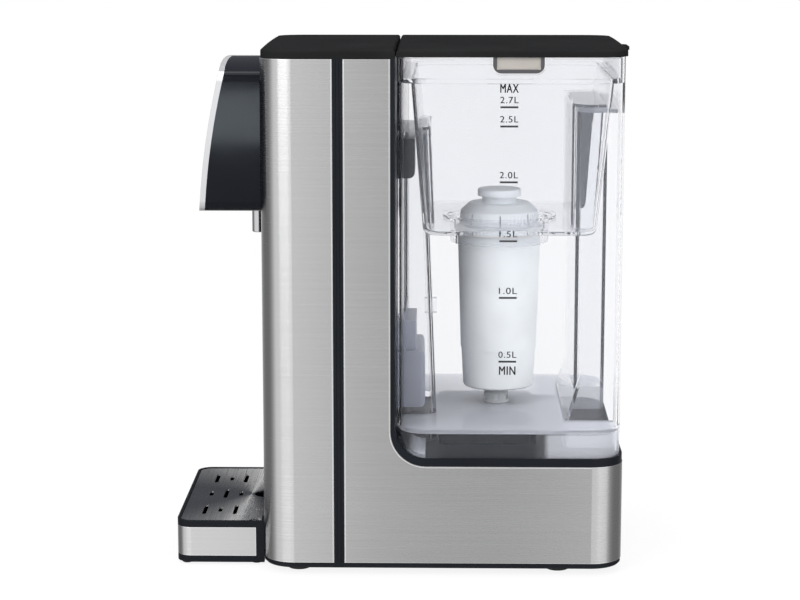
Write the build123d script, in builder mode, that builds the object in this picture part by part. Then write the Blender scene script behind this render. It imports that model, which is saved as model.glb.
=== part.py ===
from build123d import *
from math import atan2, degrees
import os

# A countertop hot water dispenser with a lift-off clear tank, in millimetres.
# X runs from the drip tray (front) to the tank (back), Y across, Z up.
# The origin lies under the middle of the overall box, on the worktop.

os.makedirs("parts", exist_ok=True)

# Overall sizes
body_width = 172.0
body_depth = 213.3
overall_height = 310.0
corner_radius = 19.0
tray_reach = 53.2
tab_reach = 4.7
foot_height = 4.0

# Sheet, wall and clearance sizes
sheet = 0.8
sheet_gap = 0.2
shell_wall = 2.0
flat_gap = 0.3
piece_gap = 0.2
slide_gap = 0.8
overrun = 3.0

# Heights of the body's parts
pan_edge = 3.4
cover_edge = 4.9
crown = 0.9
base_height = 66.0
deck_thickness = 5.0
seat_depth = 1.0

# Lengths along the body
strip_place = 42.6
strip_width = 6.2
column_depth = 75.9
post_depth = 2.7
elbow_radius = 21.0

# Cup bay, cut into the column's front
bay_half_width = 55.0
bay_depth = 28.0
bay_wall = 1.5
bay_height = 206.8

# Spout head
head_half_width = 69.0
head_low = 214.2
head_high = 295.3
head_reach_low = 36.0
head_reach_mid = 32.5
head_mid_height = 248.4
head_reach_high = 21.4
head_edge_radius = 6.0
head_crown = 5.0
head_bulge = 3.8
head_wall = 2.2
bezel_depth = 3.2
bezel_rim = 3.4
glass_step = 0.4
glass_thickness = 2.0

# Clear tank
tank_half_width = 84.0
tank_back_gap = 1.9
tank_wall = 2.4
tank_lip_wall = 1.4
tank_corner = 18.0
tank_high = 305.0
tank_floor_under = 84.8
tank_toe_radius = 17.0
front_channel_half_width = 37.0
front_channel_high = 256.0
front_channel_depth_high = 14.0
front_channel_depth_low = 21.0
rear_channel_half_width = 52.0
rear_channel_high = 271.0
rear_channel_depth = 24.0
rear_channel_flare = 6.0
rear_channel_flare_high = 104.0
channel_corner = 6.0

# Funnel with the filter seat
funnel_seat_high = 290.0
funnel_flange = 2.6
funnel_high = 304.3
funnel_wall = 1.8
funnel_inset_front = 8.2
funnel_inset_back = 6.2
funnel_inset_side = 4.6
funnel_draft_front = 7.2
funnel_draft_back = 9.0
funnel_draft_side = 5.0
funnel_corner_high = 15.0
funnel_corner_low = 10.0
funnel_floor_under = 200.9
funnel_floor = 2.3
funnel_toe_round = 4.6
pocket_gap = 1.0

# Filter cartridge
filter_place = 61.5
filter_radius = 25.25
filter_low_radius = 23.3
filter_step = 0.4
filter_toe_radius = 21.6
filter_toe_round = 1.8
filter_low = 97.6
filter_taper_low = 122.0
filter_cap_low = 194.0
filter_shoulder_high = 207.0
filter_dome_high = 211.8
filter_cap_radius = 24.9
filter_shoulder_radius = 23.6
filter_flange_radius = 26.5
filter_dome_radius = 18.4
filter_flange = 2.0
knob_radius = 13.3
knob_low = 215.9
knob_high = 220.3
gasket = 1.0

# Tank valve
valve_place = 60.5
valve_cap_radius = 7.75
valve_cap_high = 94.4
valve_tube_radius = 11.0
valve_tube_wall = 2.8
valve_tube_low = 74.0

# Drip tray
tray_half_width = 66.0
tray_corner = 9.0
tray_low = 1.5
tray_high = 27.0
band_low = 5.5
band_high = 23.0
band_end = 5.0
tray_wall = 3.2
tray_floor = 3.0
plate = 1.0
plate_step = 0.5

# Places along X and heights that follow from the sizes above
tray_front = -(tray_reach + body_depth + tab_reach) / 2
body_front = tray_front + tray_reach
body_back = body_front + body_depth
half_width = body_width / 2
strip_front = body_front + strip_place
strip_back = strip_front + strip_width
column_back = body_front + column_depth
cradle_face = column_back + post_depth
tank_front = cradle_face + slide_gap
tank_back = body_back - tank_back_gap
sheet_low = foot_height + pan_edge
sheet_high = overall_height - crown - cover_edge
deck_high = base_height + deck_thickness
tank_low = deck_high - seat_depth
tank_floor = tank_floor_under + tank_wall
bay_radius = (bay_half_width**2 + bay_depth**2) / (2 * bay_depth)
bay_centre = body_front + bay_depth - bay_radius
bay_ceiling = sheet_low + bay_height
lid_edge_high = overall_height - crown
filter_x = tank_front + filter_place
valve_x = tank_front + valve_place


def plan(front, back, half, radius, mode=Mode.ADD):
    """Draws a rounded rectangle in plan, from its front to its back."""
    with Locations(((front + back) / 2, 0)):
        RectangleRounded(back - front, 2 * half, radius, mode=mode)


def body_plan(inset, mode=Mode.ADD):
    """Draws the body's outline in plan, drawn in by an inset."""
    plan(body_front + inset, body_back - inset, half_width - inset, corner_radius - inset, mode)


def tank_plan(inset, mode=Mode.ADD):
    """Draws the tank's outline in plan, drawn in by an inset."""
    plan(tank_front + inset, tank_back - inset, tank_half_width - inset, tank_corner - inset, mode)


def bay_plan(grow, mode=Mode.SUBTRACT):
    """Draws the cup bay's round back in plan, grown by a margin."""
    with Locations((bay_centre, 0)):
        Circle(bay_radius + grow, mode=mode)


def box_between(low, high, mode=Mode.ADD):
    """Makes a box from its lowest to its highest corner."""
    size = [b - a for a, b in zip(low, high)]
    with Locations(tuple((a + b) / 2 for a, b in zip(low, high))):
        Box(*size, mode=mode)


def save(name, part):
    """Labels a finished piece and writes it to its own file."""
    part.label = name
    export_step(part, f"parts/{name}.step")


def tank_side(inset, front_step=0):
    """Draws the tank seen from the side, with its rounded toe, drawn in by an inset."""
    left, toe_low = tank_front + inset - front_step, tank_low + inset
    low = tank_low - overrun if inset else tank_low
    radius = tank_toe_radius - inset
    high = overall_height + overrun
    with BuildLine() as outline:
        if inset:
            Line((left + radius, low), (left + radius, toe_low))
        Polyline(
            (left + radius, low), (tank_back + overrun, low), (tank_back + overrun, high),
            (left, high), (left, toe_low + radius),
        )
        CenterArc((left + radius, toe_low + radius), radius, 180, 90)
    make_face(outline.edges())


def elbow_face(face_x, face_z, radius, mode=Mode.ADD):
    """Draws the space behind an upright at face_x and above a deck at face_z."""
    far_x = body_back + overrun
    far_z = overall_height + overrun
    with BuildLine() as outline:
        Polyline(
            (face_x + radius, face_z), (far_x, face_z), (far_x, far_z),
            (face_x, far_z), (face_x, face_z + radius),
        )
        CenterArc((face_x + radius, face_z + radius), radius, 180, 90)
    make_face(outline.edges(), mode=mode)


# Base pan: the black floor that the steel stands on
pan_inset = 0.4
pan_rib_inset = sheet + sheet_gap + shell_wall + flat_gap
pan_rib = 2.0
pan_rib_high = 5.0
pan_floor = 2.0
pan_bottom_chamfer = 1.0
foot_radius = 7.0
foot_recess = 1.0
foot_margin_front = 21.0
foot_margin_back = 38.0
foot_half_spacing = 69.0
foot_places = [
    (x, y)
    for x in (body_front + foot_margin_front, body_back - foot_margin_back)
    for y in (-foot_half_spacing, foot_half_spacing)
]
post_margin = 12.5
post_margin_back = 21.0
post_radius = 4.5
post_places = [
    (x, y)
    for x in (strip_back + post_margin, body_back - post_margin_back)
    for y in (post_margin - half_width, half_width - post_margin)
]
screw_radius = 1.5
screw_hole_radius = 1.7
screw_head_radius = 3.2
screw_head = 1.4
screw_length = 14.0
vent_length = 30.0
vent_width = 3.0
vent_pitch = 7.0
vent_count = 6

with BuildPart() as base_pan:
    with BuildSketch(Plane.XY.offset(foot_height)):
        body_plan(pan_inset)
        bay_plan(bay_wall)
    extrude(amount=pan_edge)
    with BuildSketch(Plane.XY.offset(sheet_low)):
        body_plan(pan_rib_inset)
        body_plan(pan_rib_inset + pan_rib, Mode.SUBTRACT)
        bay_plan(bay_wall + pan_rib)
    extrude(amount=pan_rib_high)
    with BuildSketch(Plane.XY.offset(foot_height + pan_floor)):
        body_plan(pan_rib_inset + pan_rib)
        bay_plan(bay_wall + pan_rib)
    extrude(amount=pan_edge + overrun, mode=Mode.SUBTRACT)
    with BuildSketch(Plane.XY.offset(foot_height)):
        with Locations(*foot_places):
            Circle(foot_radius + flat_gap)
    extrude(amount=foot_recess, mode=Mode.SUBTRACT)
    with BuildSketch(Plane.XY.offset(foot_height)):
        with Locations(*post_places):
            Circle(screw_hole_radius)
        with Locations(((column_back + body_back) / 2, 0)):
            with GridLocations(vent_pitch, 0, vent_count, 1):
                SlotOverall(vent_length, vent_width, rotation=90)
    extrude(amount=pan_floor + overrun, mode=Mode.SUBTRACT)
    with BuildSketch(Plane.XY.offset(foot_height)):
        with Locations(*post_places):
            Circle(screw_head_radius + flat_gap)
    extrude(amount=screw_head, mode=Mode.SUBTRACT)
    chamfer(
        base_pan.edges().filter_by_position(Axis.Z, foot_height, foot_height)
        .sort_by(SortBy.LENGTH)[-1:],
        pan_bottom_chamfer,
    )
save("base_pan", base_pan.part)

# Rubber feet under the pan
foot_edge = 0.8
with BuildPart() as body_feet:
    with BuildSketch():
        with Locations(*foot_places):
            Circle(foot_radius)
    extrude(amount=foot_height + foot_recess)
    fillet(body_feet.faces().group_by(Axis.Z)[0].edges(), foot_edge)
save("body_feet", body_feet.part)

# Inner shell: the plastic that carries the steel, in one part for the column and one for the base
skin_inset = sheet + sheet_gap
strip_depth = 3.2
groove_floor = 2.0
groove_margin = sheet + sheet_gap
window_margin = 7.0
window_half_width = bay_half_width + window_margin
post_low = sheet_low + pan_rib_high + flat_gap
post_step = 14.0
post_high = base_height - post_step
head_hole_radius = 9.0
head_hole_high = 226.0
head_hole_spacing = 44.0
head_screw_high = 286.0
head_screw_spacing = 50.0
head_screw_places = [(-head_screw_spacing, head_screw_high), (head_screw_spacing, head_screw_high)]
gland_high = 26.0
gland_hole_radius = 8.0

shell_joint = strip_back + groove_margin + groove_floor

with BuildPart() as whole_shell:
    with BuildSketch(Plane.XY.offset(sheet_low + flat_gap)):
        body_plan(skin_inset)
        body_plan(skin_inset + shell_wall, Mode.SUBTRACT)
    extrude(amount=sheet_high - sheet_low - 2 * flat_gap)
    for side in (-1, 1):
        outer = side * (half_width - skin_inset)
        groove = side * (half_width - strip_depth - flat_gap)
        inner = side * (half_width - strip_depth - flat_gap - groove_floor)
        box_between(
            (strip_front - groove_margin - groove_floor, min(outer, inner), post_low),
            (strip_back + groove_margin + groove_floor, max(outer, inner), sheet_high - flat_gap),
        )
        far = side * (half_width + overrun)
        box_between(
            (strip_front - groove_margin, min(groove, far), foot_height),
            (strip_back + groove_margin, max(groove, far), overall_height),
            Mode.SUBTRACT,
        )
    box_between(
        (body_front - overrun, -window_half_width, foot_height),
        (body_front + corner_radius, window_half_width, bay_ceiling + flat_gap),
        Mode.SUBTRACT,
    )
    with BuildSketch(Plane.XY.offset(post_low)):
        with Locations(*post_places):
            Circle(post_radius)
    extrude(amount=post_high - post_low)
    for x, y in post_places:
        wall = (half_width - skin_inset - shell_wall / 2) * (1 if y > 0 else -1)
        box_between(
            (x - shell_wall / 2, min(y, wall), post_low),
            (x + shell_wall / 2, max(y, wall), post_high),
        )
    with BuildSketch(Plane.XY.offset(post_low - overrun)):
        with Locations(*post_places):
            Circle(screw_hole_radius)
    extrude(amount=screw_length + overrun, mode=Mode.SUBTRACT)
    with BuildSketch(Plane.XZ):
        elbow_face(column_back, base_height, elbow_radius)
    extrude(amount=body_width, both=True, mode=Mode.SUBTRACT)
    with BuildSketch(Plane.YZ.offset(body_front - overrun)):
        with Locations((0, head_hole_high), (-head_hole_spacing, head_hole_high)):
            Circle(head_hole_radius)
        with Locations(*head_screw_places):
            Circle(screw_hole_radius)
    extrude(amount=corner_radius, mode=Mode.SUBTRACT)
    with BuildSketch(Plane.YZ.offset(body_back - 2 * shell_wall)):
        with Locations((0, gland_high)):
            Circle(gland_hole_radius)
    extrude(amount=2 * shell_wall, mode=Mode.SUBTRACT)

with BuildPart() as column_shell:
    add(whole_shell.part)
    box_between(
        (shell_joint, -body_width, 0), (body_back + overrun, body_width, base_height),
        Mode.SUBTRACT,
    )
save("column_shell", column_shell.part)

with BuildPart() as base_shell:
    add(whole_shell.part)
    box_between(
        (body_front - overrun, -body_width, 0),
        (shell_joint + flat_gap, body_width, overall_height),
        Mode.SUBTRACT,
    )
    box_between(
        (shell_joint, -body_width, base_height - flat_gap),
        (body_back + overrun, body_width, overall_height),
        Mode.SUBTRACT,
    )
save("base_shell", base_shell.part)

# Front steel wrap, folded in along its rear edges
with BuildPart() as front_wrap:
    with BuildSketch(Plane.XY.offset(sheet_low)):
        body_plan(0)
        body_plan(sheet, Mode.SUBTRACT)
    extrude(amount=sheet_high - sheet_low)
    box_between(
        (strip_front, -body_width, 0), (body_back + overrun, body_width, overall_height),
        Mode.SUBTRACT,
    )
    for side in (-1, 1):
        edge = sorted((side * (half_width - strip_depth), side * half_width))
        box_between((strip_front - sheet, edge[0], sheet_low), (strip_front, edge[1], sheet_high))
    box_between(
        (body_front - overrun, -bay_half_width, 0),
        (body_front + overrun, bay_half_width, bay_ceiling),
        Mode.SUBTRACT,
    )
    with BuildSketch(Plane.YZ.offset(body_front - overrun)):
        with Locations((0, head_hole_high), (-head_hole_spacing, head_hole_high)):
            Circle(head_hole_radius)
        with Locations(*head_screw_places):
            Circle(screw_hole_radius)
    extrude(amount=2 * overrun, mode=Mode.SUBTRACT)
save("front_wrap", front_wrap.part)

# Rear steel wrap: both sides and the back of the base, in one L-shaped sheet
with BuildPart() as rear_wrap:
    with BuildSketch(Plane.XY.offset(sheet_low)):
        body_plan(0)
        body_plan(sheet, Mode.SUBTRACT)
    extrude(amount=sheet_high - sheet_low)
    box_between(
        (body_front - overrun, -body_width, 0), (strip_back, body_width, overall_height),
        Mode.SUBTRACT,
    )
    for side in (-1, 1):
        edge = sorted((side * (half_width - strip_depth), side * half_width))
        box_between((strip_back, edge[0], sheet_low), (strip_back + sheet, edge[1], sheet_high))
    with BuildSketch(Plane.XZ):
        elbow_face(column_back, base_height, elbow_radius)
    extrude(amount=body_width, both=True, mode=Mode.SUBTRACT)
    with BuildSketch(Plane.YZ.offset(body_back - overrun)):
        with Locations((0, gland_high)):
            Circle(gland_hole_radius)
    extrude(amount=2 * overrun, mode=Mode.SUBTRACT)
save("rear_wrap", rear_wrap.part)

# Black strips that close the gap between the two wraps
strip_sink = 0.4
strip_line = 0.5
strip_line_count = 2
for name, side in (("side_strip_left", 1), ("side_strip_right", -1)):
    with BuildPart() as side_strip:
        face = sorted((side * (half_width - strip_sink), side * (half_width - strip_depth)))
        box_between((strip_front, face[0], sheet_low), (strip_back, face[1], sheet_high))
        skin = side * (half_width - strip_sink)
        with BuildSketch(Plane.XY.offset(sheet_low)):
            with Locations(((strip_front + strip_back) / 2, skin)):
                with GridLocations(strip_width / (strip_line_count + 1), 0, strip_line_count, 1):
                    Rectangle(strip_line, 2 * strip_line)
        extrude(amount=sheet_high - sheet_low, mode=Mode.SUBTRACT)
    save(name, side_strip.part)

# Cup bay: the curved recess that the tray's tongue and the cup stand in
bay_flange = 5.0
bay_face = body_front + sheet + sheet_gap
with BuildPart() as cup_bay:
    with BuildSketch(Plane.XY.offset(sheet_low)):
        bay_plan(bay_wall, Mode.ADD)
        bay_plan(0)
        with Locations((bay_face - bay_radius, 0)):
            Rectangle(2 * bay_radius, 4 * bay_radius, mode=Mode.SUBTRACT)
        for side in (-1, 1):
            with Locations((bay_face + bay_wall / 2, side * (bay_half_width + bay_flange / 2))):
                Rectangle(bay_wall, bay_flange)
    extrude(amount=bay_ceiling - sheet_low)
    with BuildSketch(Plane.XY.offset(bay_ceiling - bay_wall)):
        bay_plan(bay_wall, Mode.ADD)
        with Locations((bay_face - bay_radius, 0)):
            Rectangle(2 * bay_radius, 4 * bay_radius, mode=Mode.SUBTRACT)
    extrude(amount=bay_wall)
save("cup_bay", cup_bay.part)


def crowned(front, back, half, low):
    """Makes a slab with a slightly arched top, from front to back."""
    with BuildSketch(Plane.YZ.offset(front)) as section:
        with BuildLine():
            Polyline(
                (-half, lid_edge_high), (-half, low), (half, low), (half, lid_edge_high),
            )
            ThreePointArc((half, lid_edge_high), (0, overall_height), (-half, lid_edge_high))
        make_face()
    extrude(section.sketch, amount=back - front)


# Top cover of the column
cover_inset = 0.5
cover_wall = 2.2
cover_round = 1.6
cover_back = column_back + post_depth
with BuildPart() as top_cover:
    crowned(body_front + cover_inset, cover_back, half_width - cover_inset, sheet_high)
    with BuildSketch(Plane.XY.offset(sheet_high)):
        plan(
            body_front + cover_inset, body_back, half_width - cover_inset,
            corner_radius - cover_inset,
        )
    extrude(amount=cover_edge + crown, mode=Mode.INTERSECT)
    fillet(top_cover.faces().sort_by(Axis.Z)[-1].edges(), cover_round)
    with BuildSketch(Plane.XY.offset(sheet_high)):
        plan(
            body_front + cover_inset + cover_wall, body_back,
            half_width - cover_inset - cover_wall, corner_radius - cover_inset - cover_wall,
        )
        with Locations((cover_back - cover_wall + body_depth / 2, 0)):
            Rectangle(body_depth, body_width, mode=Mode.SUBTRACT)
    extrude(amount=cover_edge - cover_wall, mode=Mode.SUBTRACT)
    with BuildSketch(Plane.XY.offset(sheet_high - pan_rib_high)):
        body_plan(pan_rib_inset)
        body_plan(pan_rib_inset + pan_rib, Mode.SUBTRACT)
        with Locations((strip_front - overrun + body_depth / 2, 0)):
            Rectangle(body_depth, body_width, mode=Mode.SUBTRACT)
    extrude(amount=pan_rib_high + cover_edge - cover_wall)
save("top_cover", top_cover.part)

# Tank cradle: the upright behind the column and the deck that the tank stands on
cradle_inset = 0.3
seat_gap = 0.4
seat_elbow = 18.0
cradle_rib_depth = 6.0
pedestal_front = 24.8
guide_front = 7.0
guide_back = 19.6
guide_half_width = 35.0
pedestal_back = 84.0
pedestal_half_width = 46.0
pedestal_high = 82.0
pedestal_corner = 6.0
pedestal_wall = 2.0
socket_gap = 1.2
socket_floor = 72.6
socket_wall = 2.2
socket_collar = 1.8
socket_radius = valve_tube_radius + socket_gap
socket_floor_thickness = 2.4
socket_hole_radius = 1.5
socket_hole_circle = 6.5
socket_hole_count = 6
pin_radius = 2.0
pin_top_gap = 0.1
stem_low = 75.1
collector_low = 62.0
spigot_radius = 4.0
spigot_bore = 2.5
spigot_low = 54.0
recess_length = 18.8
recess_width = 23.0
recess_depth = 0.8
recess_spacing = 25.0
hook_low = 228.6
hook_high = 252.6
hook_reach = 10.4
hook_half_width = 22.0
hook_round = 4.0
post_line = 0.6

with BuildPart() as seat:
    with BuildSketch(Plane.XY.offset(tank_low)):
        tank_plan(-seat_gap)
    extrude(amount=tank_high - tank_low)
    with BuildSketch(Plane.XZ):
        tank_side(0, seat_gap)
    extrude(amount=body_width, both=True, mode=Mode.INTERSECT)
tank_seat = seat.part

with BuildPart() as tank_cradle:
    with BuildSketch(Plane.XZ):
        elbow_face(column_back, base_height, elbow_radius)
        elbow_face(cradle_face, deck_high, seat_elbow, Mode.SUBTRACT)
    extrude(amount=half_width, both=True)
    with BuildSketch():
        body_plan(cradle_inset)
    extrude(amount=sheet_high, mode=Mode.INTERSECT)
    for side in (-1, 1):
        rib = sorted((side * (half_width - pan_rib_inset), side * (half_width - pan_rib_inset - pan_rib)))
        box_between(
            (column_back - cradle_rib_depth, rib[0], base_height + elbow_radius),
            (column_back, rib[1], sheet_high - pan_rib_high - flat_gap),
        )
        box_between(
            (column_back + elbow_radius, rib[0], base_height - cradle_rib_depth),
            (body_back - corner_radius, rib[1], base_height),
        )
    # seat for the tank's skirt and its rounded toe
    add(tank_seat, mode=Mode.SUBTRACT)
    # pedestal under the tank's floor, hollow from below
    with BuildSketch(Plane.XY.offset(tank_low)):
        plan(
            tank_front + pedestal_front, tank_front + pedestal_back, pedestal_half_width,
            pedestal_corner,
        )
        plan(
            tank_front + guide_front, tank_front + guide_back, guide_half_width,
            pedestal_corner - pedestal_wall,
        )
    extrude(amount=pedestal_high - tank_low)
    with BuildSketch(Plane.XY.offset(base_height)):
        plan(
            tank_front + pedestal_front + pedestal_wall,
            tank_front + pedestal_back - pedestal_wall,
            pedestal_half_width - pedestal_wall, pedestal_corner - pedestal_wall,
        )
        plan(
            tank_front + guide_front + pedestal_wall, tank_front + guide_back - pedestal_wall,
            guide_half_width - pedestal_wall, pedestal_corner - 2 * pedestal_wall,
        )
    extrude(amount=pedestal_high - base_height - pedestal_wall, mode=Mode.SUBTRACT)
    with BuildSketch(Plane.XY.offset(pedestal_high)):
        for side in (-1, 1):
            with Locations((valve_x, side * recess_spacing)):
                Rectangle(2 * recess_length, recess_width)
    extrude(amount=-recess_depth, mode=Mode.SUBTRACT)
    # hole that the valve socket comes up through
    with BuildSketch(Plane.XY.offset(base_height)):
        with Locations((valve_x, 0)):
            Circle(socket_radius + socket_wall + piece_gap)
    extrude(amount=pedestal_high - base_height, mode=Mode.SUBTRACT)
    # hook boss that steadies the tank in its front channel
    with BuildSketch(Plane.XZ):
        with BuildLine():
            Polyline(
                (cradle_face + hook_reach, hook_low + hook_round),
                (cradle_face + hook_reach, hook_high), (cradle_face - post_line, hook_high),
                (cradle_face - post_line, hook_low), (cradle_face + hook_reach - hook_round, hook_low),
            )
            CenterArc(
                (cradle_face + hook_reach - hook_round, hook_low + hook_round), hook_round, 270, 90
            )
        make_face()
    extrude(amount=hook_half_width, both=True)
save("tank_cradle", tank_cradle.part)

# Valve socket: cup, collector and outlet spigot under the tank's valve, with the pin that opens it
socket_collar_high = pedestal_high - pedestal_wall - flat_gap
collector_floor = collector_low - socket_floor_thickness
with BuildPart() as valve_socket:
    with BuildSketch(Plane.XZ):
        with BuildLine():
            outer = valve_x + socket_radius + socket_wall
            Polyline(
                (valve_x, socket_floor), (valve_x + socket_radius, socket_floor),
                (valve_x + socket_radius, pedestal_high), (outer, pedestal_high),
                (outer, socket_collar_high), (outer + socket_collar, socket_collar_high),
                (outer + socket_collar, socket_collar_high - socket_collar),
                (outer, socket_collar_high - socket_collar), (outer, collector_floor),
                (valve_x + spigot_radius, collector_floor), (valve_x + spigot_radius, spigot_low),
                (valve_x + spigot_bore, spigot_low), (valve_x + spigot_bore, collector_low),
                (valve_x + socket_radius, collector_low),
                (valve_x + socket_radius, socket_floor - socket_floor_thickness),
                (valve_x, socket_floor - socket_floor_thickness), (valve_x, socket_floor),
            )
        make_face()
    revolve(axis=Axis((valve_x, 0, 0), (0, 0, 1)))
    with BuildSketch(Plane.XY.offset(socket_floor)):
        with Locations((valve_x, 0)):
            with PolarLocations(socket_hole_circle, socket_hole_count):
                Circle(socket_hole_radius)
    extrude(amount=-socket_floor_thickness, mode=Mode.SUBTRACT)
    with BuildSketch(Plane.XY.offset(socket_floor)):
        with Locations((valve_x, 0)):
            Circle(pin_radius)
    extrude(amount=stem_low - pin_top_gap - socket_floor)
save("valve_socket", valve_socket.part)


# Spout head: a moulded housing, its bright bezel and the touch panel


def head_form(front_step, edge_step, back_x, bottom_step):
    """Makes the head's form, drawn in from its bulging front and from its edges."""
    low, high = head_low + bottom_step, head_high - bottom_step
    half = head_half_width - edge_step
    corner = max(head_edge_radius - edge_step, sheet)
    with BuildPart() as form:
        with BuildSketch(Plane.XZ):
            with BuildLine():
                front_arc = ThreePointArc(
                    (head_front(head_reach_low) + front_step, head_low - overrun),
                    (head_front(head_reach_mid) + front_step, head_mid_height),
                    (head_front(head_reach_high) + front_step, head_high + head_crown + overrun),
                )
                Polyline(
                    front_arc @ 1, (column_back, head_high + head_crown + overrun),
                    (column_back, head_low - overrun), front_arc @ 0,
                )
            make_face()
        revolve(axis=Axis((body_front + head_plan_radius, 0, 0), (0, 0, 1)))
        with BuildSketch(Plane.YZ.offset(back_x)) as front_view:
            with BuildLine():
                crown_arc = ThreePointArc((-half, high), (0, high + head_crown), (half, high))
                Polyline(crown_arc @ 1, (half, low), (-half, low), (-half, high))
            make_face()
            fillet(front_view.vertices(), corner)
        extrude(front_view.sketch, amount=-2 * head_reach_low, mode=Mode.INTERSECT)
    return form.part


def head_front(reach):
    """The X of the head's front at its middle, for its reach at the sides."""
    return body_front - reach - head_bulge


head_plan_radius = (head_half_width**2 + head_bulge**2) / (2 * head_bulge)
head_boss_radius = 4.0
head_boss_bore = 1.4
head_boss_length = 12.0
nozzle_radius = 4.0
nozzle_bore = 2.6
nozzle_reach = 7.0
nozzle_low = 193.0
nozzle_flange_radius = 4.7
nozzle_flange = 2.4
nozzle_gap = 0.15
nozzle_x = body_front - nozzle_reach

head_outer = head_form(bezel_depth, 0, body_front, 0)
head_inner = head_form(bezel_depth - overrun, head_wall, body_front - head_wall, head_wall)
with BuildPart() as head_housing:
    add(head_outer)
    add(head_inner, mode=Mode.SUBTRACT)
    with BuildSketch(Plane.YZ.offset(body_front - 2 * head_wall)):
        with Locations((0, head_hole_high), (-head_hole_spacing, head_hole_high)):
            Circle(head_hole_radius - flat_gap)
    extrude(amount=2 * head_wall, mode=Mode.SUBTRACT)
    with BuildSketch(Plane.YZ.offset(body_front - head_boss_length)):
        with Locations(*head_screw_places):
            Circle(head_boss_radius)
    extrude(amount=head_boss_length)
    with BuildSketch(Plane.YZ.offset(body_front - head_boss_length + head_wall)):
        with Locations(*head_screw_places):
            Circle(head_boss_bore)
    extrude(amount=head_boss_length, mode=Mode.SUBTRACT)
    with BuildSketch(Plane.XY.offset(head_low - overrun)):
        with Locations((nozzle_x, 0)):
            Circle(nozzle_radius + nozzle_gap)
    extrude(amount=2 * overrun, mode=Mode.SUBTRACT)
save("head_housing", head_housing.part)

bezel_inner = head_form(-overrun, bezel_rim, body_front, bezel_rim)
bezel_back = head_form(bezel_depth, -overrun, body_front + overrun, -overrun)
with BuildPart() as head_bezel:
    add(head_form(0, 0, body_front, 0))
    add(bezel_back, mode=Mode.SUBTRACT)
    add(bezel_inner, mode=Mode.SUBTRACT)
save("head_bezel", head_bezel.part)

glass_edge = bezel_rim + sheet_gap
with BuildPart() as control_glass:
    add(head_form(glass_step, glass_edge, body_front, glass_edge))
    add(head_form(glass_step + glass_thickness, -overrun, body_front + overrun, -overrun),
        mode=Mode.SUBTRACT)
save("control_glass", control_glass.part)

board_thickness = 1.6
board_half_width = 52.0
board_low = 224.0
board_high = 280.0
board_reach = 15.5
board_post_radius = 2.5
board_x = body_front - board_reach
with BuildPart() as control_board:
    box_between(
        (board_x, -board_half_width, board_low),
        (board_x + board_thickness, board_half_width, board_high),
    )
    post_spots = [
        (y, z)
        for y in (-board_half_width + head_wall + 2 * board_post_radius,
                  board_half_width - head_wall - 2 * board_post_radius)
        for z in (board_low + 2 * board_post_radius, board_high - 2 * board_post_radius)
    ]
    with BuildSketch(Plane.YZ.offset(board_x + board_thickness)):
        with Locations(*post_spots):
            Circle(board_post_radius)
    extrude(amount=body_front - head_wall - board_x - board_thickness)
save("control_board", control_board.part)

# Spout nozzle and the elbow that feeds it
nozzle_elbow_high = 14.0
elbow_spigot_radius = 3.5
elbow_spigot_bore = 2.2
elbow_spigot = 8.0
with BuildPart() as nozzle:
    with BuildSketch(Plane.XZ):
        with BuildLine():
            Polyline(
                (nozzle_x + nozzle_bore, nozzle_low), (nozzle_x + nozzle_radius, nozzle_low),
                (nozzle_x + nozzle_radius, head_low + head_wall),
                (nozzle_x + nozzle_flange_radius, head_low + head_wall),
                (nozzle_x + nozzle_flange_radius, head_low + head_wall + nozzle_flange),
                (nozzle_x + nozzle_bore, head_low + head_wall + nozzle_flange),
                close=True,
            )
        make_face()
    revolve(axis=Axis((nozzle_x, 0, 0), (0, 0, 1)))
    chamfer(nozzle.edges().group_by(Axis.Z)[0].sort_by(SortBy.RADIUS)[-1:], sheet / 2)
save("nozzle", nozzle.part)

elbow_low = head_low + head_wall + nozzle_flange
with BuildPart() as nozzle_elbow:
    with BuildSketch(Plane.XY.offset(elbow_low)):
        with Locations((nozzle_x, 0)):
            Circle(nozzle_flange_radius)
    extrude(amount=nozzle_elbow_high)
    with BuildSketch(Plane.YZ.offset(nozzle_x)):
        with Locations((0, head_hole_high)):
            Circle(elbow_spigot_radius)
    extrude(amount=elbow_spigot + nozzle_flange_radius)
    with BuildSketch(Plane.YZ.offset(nozzle_x)):
        with Locations((0, head_hole_high)):
            Circle(elbow_spigot_bore)
    extrude(amount=elbow_spigot + nozzle_flange_radius + overrun, mode=Mode.SUBTRACT)
    with BuildSketch(Plane.XY.offset(elbow_low)):
        with Locations((nozzle_x, 0)):
            Circle(nozzle_bore)
    extrude(amount=head_hole_high - elbow_low, mode=Mode.SUBTRACT)
save("nozzle_elbow", nozzle_elbow.part)

# Clear tank: outer walls, raised floor, front channel and rear grip channel


def front_channel(wall):
    """Makes the channel in the tank's front, grown by a wall."""
    with BuildPart() as channel:
        with BuildSketch(Plane.XZ):
            with BuildLine():
                Polyline(
                    (tank_front - overrun, tank_low - overrun),
                    (tank_front + front_channel_depth_low + wall, tank_low - overrun),
                    (tank_front + front_channel_depth_low + wall, tank_floor_under),
                    (tank_front + front_channel_depth_high + wall, front_channel_high + wall),
                    (tank_front - overrun, front_channel_high + wall),
                    close=True,
                )
            make_face()
        extrude(amount=front_channel_half_width + wall, both=True)
        inner_edges = channel.edges().filter_by(Axis.Y, reverse=True)
        uprights = inner_edges.filter_by(lambda e: e.length > front_channel_half_width)
        fillet(
            uprights.sort_by(Axis.X)[-2:], channel_corner + wall,
        )
    return channel.part


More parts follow.
